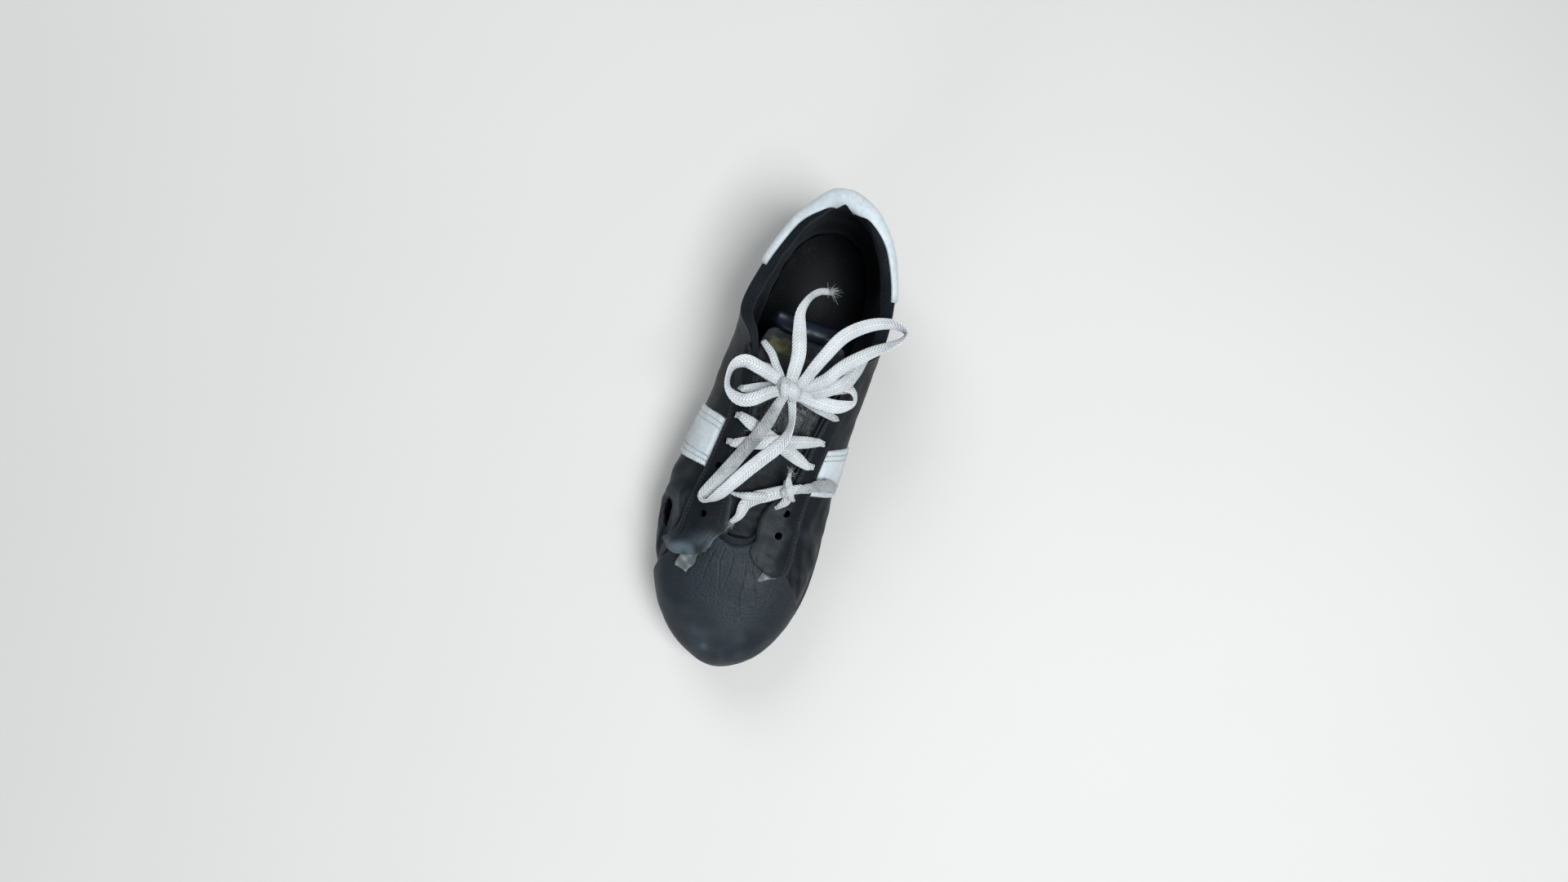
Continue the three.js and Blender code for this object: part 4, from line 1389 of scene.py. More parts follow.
@dataclass
class Lacing:
    """Laces: bars through the eyelets, a bow, its knot and a broken, retied front lace."""

    palette: Palette
    # section and height of each lateral eyelet, then of the lip under a bar with its lift
    eyelets: tuple[tuple[float, float], ...] = (
        (6.28, 0.895), (6.72, 0.895), (7.17, 0.895), (7.67, 0.895), (8.2, 0.895), (8.8, 0.895), (9.5, 0.86),
    )
    lip: tuple[float, float] = (0.985, 4.2)
    sink: tuple[float, ...] = (3.7, 3.0, 1.1, -1.2, -3.2)
    made: dict[str, Piece] = field(default_factory=dict)

    # Runs of the cords, with their dirt and painted shade and their width along them.
    ROUTES = {
        "lace_end_rear": (
            (-23, 2, 84, 0), (-31.5, 2.6, 84.6, 0), (-42, 2.4, 86.2, 0), (-54, -0.6, 86.5, 10),
            (-64.7, -2.8, 85, 25), (-74.5, -0.4, 82, 40), (-80, 4, 79.5, 20), (-82, 8.9, 77.5, 0),
        ),
        "lace_loop_medial_long": (
            (-22.5, 5, 83.6, 0), (-29, 9.2, 85, 0), (-43, 15.5, 87.5, 10), (-58, 23.5, 87, 20),
            (-68.5, 35.5, 84, 35), (-73.5, 48, 80.5, 60), (-71.5, 56.5, 79, 85), (-65, 53, 79.5, 60),
            (-54.5, 40, 81.5, 25), (-43.5, 28.5, 83.5, 10), (-33, 20.5, 84, 0), (-27.5, 13, 83.4, 0),
            (-22, 6, 82.6, 0),
        ),
        "lace_loop_medial_short": (
            (-21.5, 4, 83, 0), (-20.5, 11.4, 83.5, 0), (-20.2, 22.8, 81.8, 5), (-21.2, 31.5, 79.6, 25),
            (-25.6, 39, 78, 72), (-31.4, 37, 79.2, 55), (-33.2, 29, 80.4, 20), (-30.6, 20.5, 81, 5),
            (-26.5, 13.5, 81.2, 0), (-22, 7, 81.6, 0),
        ),
        "lace_loop_lateral": (
            (-21.4, 2, 83.4, 0), (-18.2, -6, 83.5, 0), (-11.5, -15.5, 82, 0), (-10.5, -23, 79.5, 20),
            (-16, -30.5, 77, 70), (-25.5, -31, 77.8, 70), (-31, -25, 80.6, 25), (-29.5, -16, 82.2, 5),
            (-26.5, -6.2, 82.8, 0), (-22.5, 2, 82.4, 0),
        ),
        "lace_strands": (
            (-20, 2, 83.4, 0), (-12.4, -0.8, 83, 0), (-4, -3, 80.8, 0), (5.3, -6.5, 77.6, 0),
            (16, -11.8, 74.4, 0), (26, -16.6, 71.2, 0), (35.3, -21.3, 68.4, 0), (42, -24.8, 66.4, 0),
            (46.4, -26.6, 65.8, 25), (48.2, -24.6, 66.2, 80), (45.8, -21, 67, 60),
            (41.5, -17.4, 68, 35), (36.5, -14, 69.6, 30), (31, -10.4, 71.4, 10), (25.2, -6.4, 73.6, 0),
            (17, -0.4, 76.4, -10), (10, 4.9, 78, -20), (2.4, 8.4, 79.4, -45), (-4.8, 9.2, 80.5, -60),
            (-13, 7.2, 82, -40), (-20, 4.5, 82.6, 0),
        ),
        "lace_broken": (
            (56, -8, 60.4, 0), (51, -4.5, 60.6, 0), (44, -3, 62, 0), (39, 1.5, 64, 0), (36, 7, 66, 0),
            (32, 14, 68.6, 0), (29.5, 19, 70.6, 0), (27.8, 24.4, 68.4, 30), (24.5, 31, 65.8, -35),
            (22, 36, 61.8, 40), (20.5, 40.5, 57, -25), (21.5, 44.5, 50.5, 0),
        ),
    }
    # Grey painted along some cords, dirt and painted shade together; the outer strand is greyest.
    DIRT_AND_SHADE_ALONG = {
        "lace_strands": (0.5, 0.9, 1.0, 0.8, 0.35, 0.08, 0, 0.05, 0.3),
        "lace_broken": (0.7, 0.3, 0.15, 0.3, 0.9, 0.7, 0.9, 1.0),
        "lace_end_rear": (0.4, 0.1, 0.1, 0.3, 0.8),
    }
    WIDTHS = {
        "lace_broken": (0.35, 0.8, 1, 1, 0.9, 0.6, 0.9, 0.95, 0.8),
        "lace_end_rear": (0.7, 1, 1.05, 1, 0.9, 0.65, 0.5, 0.5),
    }
    # Knot that a cord carries, and the solids that a cord stands for.
    CARRIES = {"lace_end_rear": "lace_knot", "lace_broken": "lace_knot_front"}
    STANDS_FOR = {
        "lace_strands": ("lace_strand_outer", "lace_strand_inner"),
        "lace_broken": ("lace_broken_outer", "lace_broken_inner", "lace_knot_front"),
    }
    # Wraps of the bow's knot with their widths and thicknesses, and ties of the front knot.
    BOW = (
        (
            (-46, -18.6, 72.6, 0), (-44, -16.6, 75, 0), (-39.5, -11.8, 78, 0), (-33, -7.4, 80.2, 0),
            (-26, -1.4, 81.8, 0),
        ),
        ((-33, -15.4, 73, 0), (-31.6, -11.6, 77, 0), (-28.6, -7, 80, 0), (-25, -2, 81.8, 0)),
        (
            (-21, 6, 82.4, 0), (-24, 16, 83.2, 0), (-33.1, 30, 82.4, 10), (-41.3, 34.2, 81.6, 15),
            (-49.3, 36.6, 80, 10), (-54, 37.8, 79.4, 0),
        ),
        (
            (-24.4, -4.4, 82.2, 0), (-24, -1.2, 85.4, 0), (-22.4, 3, 86.6, 0), (-20.6, 7, 85.4, 0),
            (-20, 9.8, 82.4, 0),
        ),
        (
            (-27.6, -0.6, 83.2, 0), (-25.4, -0.4, 85.8, 0), (-22.4, 0.4, 87.4, 0),
            (-19.2, 1.2, 85.8, 0), (-16.8, 1.6, 83, 0),
        ),
        (
            (-26.6, 5, 83, 0), (-24.4, 5.4, 85.2, 0), (-21.6, 5.6, 86.4, 0), (-18.8, 5.6, 85, 0),
            (-16.8, 5.6, 82.6, 0),
        ),
    )
    BOW_SIZES = ((4.6, 1.1), (5.0, 1.1), (8.0, 1.1), (7.8, 2), (5.4, 2), (5.0, 2))
    TIES = (
        (
            (25.2, 15.6, 67.4, 0), (27.4, 16.8, 71.6, 0), (30.4, 18.6, 73, 0), (33.6, 20.6, 71.2, 0),
            (34.6, 22.4, 67.4, 0),
        ),
        (
            (33.4, 14.6, 67.6, 0), (32, 16.4, 71.6, 0), (29.2, 20, 72.4, 0), (26.4, 23.4, 70.4, 0),
            (25.8, 24.8, 67.4, 0),
        ),
        ((29.6, 18, 72.4, 30), (26, 16.8, 74, 50), (22.6, 16.2, 73.2, 70), (20.4, 16.4, 71, 60)),
        ((31, 19.5, 69.5, 0), (35.5, 18.6, 68.2, 10), (39.5, 15.8, 65.4, 20), (41.6, 13.6, 63.4, 30)),
        (
            (36.4, 7.6, 66.6, 0), (38.4, 1, 66, 0), (39.6, -5, 66, 0), (40, -9.4, 66.2, 0),
            (39.9, -12.4, 66.2, 0),
        ),
    )

    def strands(self) -> None:
        """Bow, loose end, strands and the broken lace, each built as a tape."""
        for seed, (name, route) in enumerate(self.ROUTES.items(), 3):
            tape = Tape(f"worn_{name}", route)
            tape.wear = self.DIRT_AND_SHADE_ALONG.get(name, tape.wear)
            tape.widths = self.WIDTHS.get(name, tape.widths)
            piece = self.whole([tape.build(seed)], tape.name, *self.STANDS_FOR.get(name, (name,)))
            tuple(c * MM for c in route[0][:3])
            tape.length()
            tape.width * MM
            tape.path()

    def bars(self) -> None:
        """Crossed bars that run out of one eyelet, over the throat and into the next."""
        wear, widths = (0.6, 0.25, 0.2, 0.25, 0.6), (0.42, 0.48, 0.9, 1, 1, 1, 0.9, 0.48, 0.42)
        for name, first in (("lace_crossing_rear", 0), ("lace_crossing_front", 2)):
            parts = []
            for k in range(2):
                route = self.bar_route(first + k, first + 1 - k, 2.0 + 1.2 * k)
                parts.append(Tape(f"bar_{k}", route, wear=wear, widths=widths).build(20 + k + first))
            self.whole(parts, f"worn_{name}", name)

    def bar_route(self, lateral: int, medial: int, bow: float) -> Route:
        """Route of a bar from under one eyelet to under another.

        Args:
            lateral: eyelet on the little-toe side.
            medial: eyelet on the big-toe side.
            bow: height of the bar above its two lips in the middle.

        Returns:
            Points with no roll.
        """
        (s0, w0), (s1, w1) = self.eyelets[lateral], self.eyelets[medial]
        s1 = FORM.RING - s1
        lips = FORM.raised(np.array([s0, s1]), *self.lip)
        middle = [
            lips[0] + (lips[1] - lips[0]) * f + np.array([0, 0, 4 * bow * f * (1 - f)])
            for f in np.linspace(0, 1, 5)
        ]

        def end(s: float, w: float) -> Array:
            """Points from the lip down into an eyelet."""
            return FORM.raised(s, np.array([0.95, w + 0.014, w + 0.003, w, w]), np.array(self.sink))

        return tuple((*p, 0.0) for p in (*end(s0, w0)[::-1], *middle, *end(s1, w1)))

    def knots(self) -> None:
        """Knot of the bow and the small knot of the retied front lace, from wraps of tape."""
        wraps = [
            Tape(f"wrap_{k}", route, *size, (0.6, 0.25, 0.6), (0.8, 1, 1, 1, 0.8)).build(40 + k)
            for k, (route, size) in enumerate(zip(self.BOW, self.BOW_SIZES))
        ]
        self.made["lace_knot"] = self.whole(wraps, "worn_lace_knot", "lace_knot")
        ties = [
            Tape(f"tie_{k}", route, 5.4, 1.7, (0.6, 0.4, 0.9), (0.7, 1, 0.95, 0.6, 0.35)).build(50 + k)
            for k, route in enumerate(self.TIES)
        ]
        self.made["lace_knot_front"] = self.whole(ties, "worn_lace_knot_front")

    def whole(self, parts: Sequence[Piece], name: str, *nodes: str) -> Piece:
        """One dressed piece of tapes, part of the shoe.

        Args:
            parts: tapes that are used up.
            name: name of the piece.
            nodes: solids that it stands for.

        Returns:
            The piece.
        """
        piece = Bench.join(name, parts)
        Bench.dress(piece, self.palette.lace)
        return settle(piece, "white_lace", *nodes)

    def punches(self, side: Side, radius: float) -> list[Piece]:
        """Cutters for the lace holes of a side."""
        return [Bench.prism(float(side.turn(s)), w, radius, radius) for s, w in self.eyelets]


@dataclass
class Sole:
    """Cup sole with its ribbed side, stitch groove, tread slots and the insole lying in it."""

    palette: Palette
    around: int = 480
    slot_starts: tuple[tuple[float, float], ...] = ((27.0, 3.0), (-106.0, -3.0))
    slot_count: int = 5
    slot_pitch: float = 9.4
    slot_depth: float = 2.0
    slot_width: float = 3.4
    slot_margin: float = 9.0
    lip_inset: float = 1.3
    insole_around: int = 240
    insole_thick: float = 3.0
    # share of the side's height, distance out of the outline
    rings: tuple[tuple[float, float], ...] = (
        (0.0, -2.4), (0.03, -1.2), (0.1, -0.2), (0.25, 0.05), (0.4, 0.0), (0.425, -0.65),
        (0.475, -0.65), (0.5, 0.0), (0.62, 0.0), (0.74, -0.2), (0.765, -1.05), (0.835, -1.05),
        (0.86, -0.3), (0.93, -0.45), (0.98, -0.75), (1.0, -1.3),
    )

    def slot_press(self, x: Array, y: Array, lateral: Array, medial: Array) -> Array:
        """Depth of the tread slots under a place.

        Args:
            x: places along the shoe.
            y: places across it.
            lateral: y of the outline on the little-toe side.
            medial: y of the outline on the big-toe side.

        Returns:
            Millimetres that the tread is cut in.
        """
        cut = np.zeros_like(x)
        off = np.abs(y - (lateral + medial) / 2)
        reach = np.maximum((medial - lateral) / 2, 1)
        half = self.slot_width / 2
        for first, lean in self.slot_starts:
            for k in range(self.slot_count):
                bend = lean * (1 - np.clip(off / (reach - self.slot_margin + 1e-6), 0, 1))
                start = first + self.slot_pitch * k + bend
                inside = smooth(np.abs(x - start - half), half + 0.5, half - 0.4)
                inside *= smooth(off, reach - self.slot_margin + 0.4, reach - self.slot_margin - 0.6)
                cut = np.maximum(cut, inside)
        return cut * self.slot_depth

    def build(self) -> None:
        """Builds the sole as a ring of sections closed along its middle line."""
        sections = FORM.even_sections(self.around)
        spine = FORM.spine(sections)
        ground = np.maximum(FORM.at("ground", sections), 0)
        rim, bed = FORM.at("rim", sections), FORM.at("bed", sections)
        shares, outs = (np.array(column) for column in zip(*self.rings))
        edge = FORM.beside(sections, outs[0], ground)
        sides = np.sort([edge[:, 1], (2 * spine - edge)[:, 1]], axis=0)
        rows = [inward(spine, edge, q, ground) for q in np.linspace(0, 1, 44)[:-1]]
        for row in rows:
            row[:, 2] += self.slot_press(row[:, 0], row[:, 1], *sides)
        treads = len(rows)
        for share in np.unique(np.concatenate([np.linspace(0, 1, 30), shares])):
            out = np.interp(share, shares, outs)
            rows.append(FORM.beside(sections, out, ground + (rim - ground) * share))
        for q in np.linspace(0, 1, 7)[1:]:
            out = -self.lip_inset + (self.lip_inset - FORM.CUP) * q
            rows.append(FORM.beside(sections, out, rim + 0.35 * math.sin(math.pi * q)))
        for q in np.linspace(0, 1, 6)[1:]:
            rows.append(FORM.beside(sections, -FORM.CUP, rim + (bed - rim) * q))
        inner = FORM.beside(sections, -FORM.CUP, bed)
        rows += [inward(spine, inner, q, bed) for q in np.linspace(1, 0, 10)[1:]]
        piece = Bench.rings("worn_sole", rows)
        Bench.paint(piece, tread=np.repeat(np.arange(len(rows)) < treads, self.around + 1))
        Bench.mend(piece, SEAM)
        Bench.soften(piece, 50)
        Bench.dress(piece, self.palette.rubber)
        settle(piece, "black_rubber", "cup_sole")

    def inside(self) -> None:
        """Builds the insole, dished where the heel and ball have pressed it."""
        sections = FORM.even_sections(self.insole_around)
        spine = FORM.spine(sections)
        bed = FORM.at("bed", sections) + FORM.GAP
        inset = -(FORM.CUP + FORM.WALL + 2 * FORM.GAP + 0.1)
        low = FORM.beside(sections, inset, bed)
        rows = [inward(spine, low, q, bed) for q in (0.0, 0.5, 1.0)]
        rows += [FORM.beside(sections, inset, bed + self.insole_thick * q) for q in (0.3, 0.7, 0.95)]
        top = FORM.beside(sections, inset - 0.25, bed)
        for q in np.linspace(1, 0, 26):
            row = inward(spine, top, q, bed)
            dish = 1.0 * self.dent(row, (-95, 4), 26, 17) + 0.8 * self.dent(row, (52, 0), 26, 26)
            row[:, 2] = bed + self.insole_thick - dish
            rows.append(row)
        piece = Bench.rings("worn_insole", rows)
        Bench.mend(piece, SEAM)
        Bench.paint(piece, wear=0.5 * self.dent(Bench.points(piece) / MM, (-95, 4), 24, 15))
        Bench.soften(piece, 60)
        Bench.dress(piece, self.palette.insole)
        settle(piece, "black_lining", "insole")

    @staticmethod
    def dent(points: Array, middle: tuple[float, float], long: float, wide: float) -> Array:
        """Soft oval share of a place, 1 in its middle."""
        return np.exp(-(((points[:, 0] - middle[0]) / long) ** 2) - ((points[:, 1] - middle[1]) / wide) ** 2)


@dataclass
class Upper:
    """Black leather wall with its padded lining, flex creases, lace holes and the tear."""

    palette: Palette
    lacing: Lacing
    around: int = 480
    tear_at: tuple[float, float] = (9.15, 0.5)
    tear_half: tuple[float, float] = (8.4, 4.2)
    tear_ragged: float = 0.16
    hole_radius: float = 2.4
    # from, to and steps of the wall's own section
    profile: tuple[tuple[float, float, int], ...] = ((0, 0.12, 3), (0.12, 1, 83), (1, 2, 13), (2, 3, 39))
    lined: tuple[float, float] = (1.3, 3.19)
    heel_end: float = -46.0

    def build(self) -> None:
        """Builds the wall, presses its creases, cuts its holes and dresses it."""
        steps = [np.linspace(low, high, count + 1)[:-1] for low, high, count in self.profile]
        heights = np.concatenate([*steps, [self.profile[-1][1]]])
        sections = FORM.even_sections(self.around)
        across, along = self.around, len(heights)
        s = np.tile(sections[np.arange(across + 1) % across], along + 1)
        w = np.repeat(heights[np.arange(along + 1) % along], across + 1)
        flat = FORM.skin(s, w)
        level = np.where(w <= 1, w, np.where(w >= 2, 3 - w, 1))
        rise = CREASES.rise(s, level)
        lining = np.where(w > 1, 0.35 * ripple(flat, 17, 7) * smooth(w, 1.2, 2.1), 0)
        lift = rise * np.where(w > 1.5, -1.0, 1.0) + lining
        points = flat + FORM.normal(s, w) * lift[:, None]
        piece = Bench.grid("worn_upper", across, along, lambda u, v: points)
        near = np.linalg.norm(FORM.outside(s, level) - FORM.outside(*np.array(self.tear_at)), axis=1)
        wear = np.maximum(np.clip(rise / 0.9, 0, 1) * 0.4, 0.25 * smooth(near, 17, 7)) * (w <= 1)
        wear = np.where(w > 1.2, 0.15 * np.clip(ripple(flat, 19, 9), 0, 1), wear)
        Bench.paint(piece, wear=wear, fold=np.clip(-rise / 1.2, 0, 1) * (w <= 1), height=w)
        Bench.mend(piece)
        tools = [Bench.prism(*self.tear_at, *self.tear_half, self.tear_ragged)]
        for side in Side:
            tools += self.lacing.punches(side, self.hole_radius)
        Bench.cut(piece, tools)
        Bench.dress(piece, self.palette.quarter, self.palette.lining)
        self.line(piece)
        Bench.soften(piece)
        settle(piece, "black_leather", "upper")

    def line(self, piece: Piece) -> None:
        """Gives the faces inside the wall the lining, which starts higher at the heel.

        Args:
            piece: the wall.
        """
        height = Bench.read(piece.data.attributes["height"].data, "value", np.float32)
        height += np.where((height > 1) & (Bench.points(piece)[:, 0] < self.heel_end * MM), 0.22, 0)
        corners = height[Bench.read(piece.data.loops, "vertex_index", np.int32)]
        starts = Bench.read(piece.data.polygons, "loop_start", np.int32)
        low, high = np.minimum.reduceat(corners, starts), np.maximum.reduceat(corners, starts)
        inside = (low > self.lined[0]) & (high < self.lined[1])
        piece.data.polygons.foreach_set("material_index", inside.astype(np.int32))


@dataclass
class ToeCap:
    """Toe cap: pebbled in the middle, rubbed smooth in front, with fine pressed lines."""

    palette: Palette
    first: float = 10 + 1 / 3
    thick: float = 1.9
    low: float = 0.17
    high: float = 0.97
    size: tuple[float, float] = (150.0, 62.0)
    scuff_at: tuple[float, float] = (128.4, -3.3)
    lines: tuple[Fold, ...] = (
        Fold(((13.04, 0.97), (13.4, 0.87), (13.8, 0.765), (13.85, 0.7)), 0.22, 0.5, 0.15),
        Fold(((14.32, 0.95), (14.2, 0.86), (14.04, 0.775), (13.95, 0.72)), 0.22, 0.5, 0.15),
        Fold(((15.72, 0.93), (15.2, 0.82), (14.78, 0.71), (14.9, 0.62), (15.02, 0.54)), 0.22, 0.5, 0.15),
        Fold(((15.8, 0.86), (15.78, 0.805), (15.76, 0.7), (15.8, 0.62)), 0.22, 0.5, 0.15),
        Fold(((12.2, 0.94), (12.6, 0.82), (12.8, 0.7)), 0.2, 0.6, 0.15),
        Fold(((16.4, 0.5), (16.7, 0.42), (16.9, 0.34)), 0.25, 0.6, 0.15),
        Fold(((10.6, 0.66), (11.0, 0.58), (11.6, 0.55), (12.2, 0.5)), 0.8, 4.0, 0.3),
        Fold(((11.3, 0.42), (12.2, 0.36), (13.2, 0.34)), 0.4, 5.0, 0.3),
    )

    def place(self, u: Array, v: Array) -> Array:
        """Point of the cap's face.

        Args:
            u: share round the toe.
            v: share up the wall.

        Returns:
            Points in millimetres.
        """
        s = self.first + (ShoeForm.RING - 2 * self.first) * u
        low = self.low - 0.025 * np.sin(math.pi * u)
        w = low + (self.high - low) * v
        base = FORM.outside(s, w)
        reach = np.minimum(margin(u) * self.size[0], margin(v) * self.size[1])
        lift = 0.1 + self.thick * rounded(reach, 1.8) + CREASES.rise(s, w) * smooth(reach, 14, 0)
        for line in self.lines:
            lift = lift + line.press(base) * smooth(reach, 0, 5)
        lift = lift + 0.25 * ripple(base, 30, 11) * smooth(reach, 0, 6)
        return FORM.raised(s, w, lift + FORM.GAP)

    def build(self) -> None:
        """Builds the cap as a domed sheet with rounded edges."""
        across, up = 300, 130
        piece = Bench.grid("worn_toe_cap", across, up, self.place)
        u, v = Bench.shares(across, up)
        spots = Bench.points(piece) / MM
        front = smooth(spots[:, 0], 92, 122) + 0.5 * smooth(spots[:, 1], -14, -34)
        scuff = np.exp(-((np.linalg.norm(spots[:, :2] - np.array(self.scuff_at), axis=1) / 2.2) ** 2))
        wear = 0.22 * front * (1 + 0.5 * ripple(spots, 12, 13)) + 0.7 * scuff
        Bench.paint(
            piece, flat=np.clip(front + 0.2 * ripple(spots, 16, 12), 0, 1), wear=np.clip(wear, 0, 1),
            fold=np.clip(smooth(v, 0.1, 0) + smooth(margin(u), 0.02, 0), 0, 1) * 0.7,
        )
        Bench.sheet(piece, 0.9, 60, self.palette.cap)
        settle(piece, "cap_leather", "toe_cap")


@dataclass
class Eyestay:
    """Lace stay of one side, loose and torn at its front end, with punched holes."""

    palette: Palette
    lacing: Lacing
    side: Side
    thick: float = 1.5
    wide: float = 18.0
    long: float = 110.0
    seam_in: float = 2.6
    hole_radius: float = 2.2
    # inner section and height, outer section and height, lift
    rows: tuple[tuple[float, float, float, float, float], ...] = (
        (6, 0.985, 6, 0.8, 0), (6.333, 0.985, 6.333, 0.8, 0), (6.667, 0.985, 6.667, 0.8, 0),
        (7, 0.985, 7, 0.8, 0), (7.333, 0.985, 7.333, 0.8, 0), (7.667, 0.985, 7.667, 0.8, 0),
        (8, 0.985, 8, 0.79, 0), (8.333, 0.985, 8.333, 0.77, 0), (8.667, 0.985, 8.667, 0.74, 0),
        (9, 0.985, 9, 0.71, 0), (9.667, 0.985, 9.333, 0.69, 0.5), (10.333, 0.98, 9.667, 0.67, 2.1),
        (11, 0.965, 10, 0.66, 3), (11.667, 0.94, 10.333, 0.66, 3.4), (12.333, 0.91, 10.8, 0.68, 4),
    )

    def spot(self, u: Array, v: Array) -> tuple[Array, Array, Array]:
        """Section, height and lift of the stay, u from its outer to its inner edge, v to its front.

        Args:
            u: share across.
            v: share along.

        Returns:
            Sections, heights and lifts.
        """
        table = np.array(self.rows, float)
        place = np.clip(v, 0, 1) * (len(table) - 1)
        columns = (np.interp(place, np.arange(len(table)), column) for column in table.T)
        inner_s, inner_w, outer_s, outer_w, lift = columns
        return outer_s + (inner_s - outer_s) * u, outer_w + (inner_w - outer_w) * u, lift

    def place(self, u: Array, v: Array) -> Array:
        """Point of the stay's face.

        Args:
            u: share across, from its outer edge.
            v: share along, to its front.

        Returns:
            Points in millimetres.
        """
        front = smooth(v, 0.78, 1)
        lateral = self.side is Side.LATERAL
        tip = np.clip((v - (0.9 if lateral else 0.93)) / (0.1 if lateral else 0.07), 0, 1)
        across = 0.5 + (u - 0.5) * np.sqrt(np.clip(1 - tip ** 3, 0.3, 1))
        across = across + (1 - u) * 0.5 * (1 - rounded(v, 0.06))
        inner = smooth(u, 0.6, 1.0)
        if lateral:
            across = across - 0.42 * front * (1 - u) + 0.035 * np.sin(v * 61 + u * 4) * front
            flutter = 1.8 * smooth(v, 0.9, 1) * np.sin(u * 9)
            curl = front * (2.4 * inner + 1.6 * np.sin(u * 4.2 + 1.0) + flutter)
            hang = 6.5 * smooth(v, 0.5, 0.64) * smooth(v, 0.92, 0.76)
            hang = hang + 5.0 * smooth(v, 0, 0.1) * smooth(v, 0.42, 0.25)
        else:
            curl = front * (0.9 * np.sin(u * 4.4 + 0.5) + 0.6 * inner)
            hang = -6.0 * smooth(v, 0.46, 0.6) * smooth(v, 0.8, 0.64)
        s, w, lift = self.spot(across, v)
        s = self.side.turn(s)
        edge = rounded(np.minimum(margin(u) * self.wide, margin(v) * self.long), 1.4)
        seam = 0.22 * sum(np.exp(-(((x * self.wide - self.seam_in) / 0.7) ** 2)) for x in (u, 1 - u))
        base = FORM.outside(s, w)
        pucker = 0.2 * ripple(base, 15, 21) + 0.1 * ripple(base, 7, 22)
        pucker = pucker + front * (0.6 if lateral else 0.3) * ripple(base, 10, 24)
        lift = FORM.GAP + lift + np.maximum(curl, -0.2) + self.thick * (0.3 + 0.7 * edge) - seam + pucker
        spot = FORM.raised(s, w, lift + CREASES.rise(s, w))
        return spot + np.stack([0 * u, hang * smooth(u, 0.55, 1), 0 * u], -1)

    def backing(self) -> None:
        """Pale raw end of the backing that hangs out under the loose front end."""
        lateral = self.side is Side.LATERAL
        (u0, v0), run, half = ((0.6, 0.97), 11.0, 6.0) if lateral else ((0.35, 0.98), 7.0, 4.5)
        narrow, droop = (0.35, 0.6) if lateral else (0.85, 2.6)
        root, behind, beside = self.place(np.array([u0, u0, u0 + 0.1]), np.array([v0, v0 - 0.05, v0]))
        ahead = unit(root - behind)
        wide = unit((beside - root) - ((beside - root) @ ahead) * ahead)
        up = np.cross(ahead, wide) * np.sign(np.cross(ahead, wide)[2])

        def place(u: Array, v: Array) -> Array:
            """Point of the backing at u across and v forward.

            Args:
                u: share across.
                v: share forward.

            Returns:
                Points in millimetres.
            """
            shape = (1 - narrow * v) * (1 + 0.12 * np.sin(v * 9 + u * 3))
            spot = root + ahead * (v * (run + 3) - 3)[:, None]
            spot = spot + wide * ((u - 0.5) * 2 * half * shape)[:, None]
            wave = 0.7 * np.sin(u * 6 + v * 2) if lateral else 0.3 * np.sin(u * 3)
            return spot + up * (-1.4 - 1.6 * v - droop * v * v + wave * v)[:, None]

        piece = Bench.grid(f"stay_backing_{self.side.value}", 20, 24, place)
        Bench.paint(piece, wear=0.35 + 0.4 * ripple(Bench.points(piece) / MM, 5, 61))
        Bench.sheet(piece, 0.9, 60, self.palette.suede)
        settle(piece, "black_leather")

    def build(self) -> None:
        """Builds the stay, punches its holes and adds the pale backing that hangs out in front."""
        name = f"eyestay_{self.side.value}"
        across, along = 26, 190
        piece = Bench.grid(f"worn_{name}", across, along, self.place)
        u, v = Bench.shares(across, along)
        # The lateral stay's front is painted much lighter: partly scuffs, partly a painted highlight where
        # it faces up.
        worn = 0.9 if self.side is Side.LATERAL else 0.45
        spots = Bench.points(piece) / MM
        wear = worn * smooth(v, 0.7, 0.94) * (0.46 + 0.2 * ripple(spots, 19, 23))
        wear += 0.2 * smooth(margin(u), 0.06, 0)
        scuff = smooth(v, 0.86, 0.95) * smooth(np.abs(u - 0.42), 0.42, 0.12)
        wear += (worn - 0.45) * scuff * (0.9 + 0.5 * ripple(spots, 9, 25))
        Bench.paint(piece, wear=np.clip(wear, 0, 1), fold=0.5 * smooth(margin(u), 0.16, 0.1))
        Bench.thicken(piece, self.thick * 0.85)
        Bench.mend(piece)
        Bench.cut(piece, self.lacing.punches(self.side, self.hole_radius))
        Bench.soften(piece, 50)
        Bench.dress(piece, self.palette.quarter)
        settle(piece, "black_leather", name)
        self.backing()


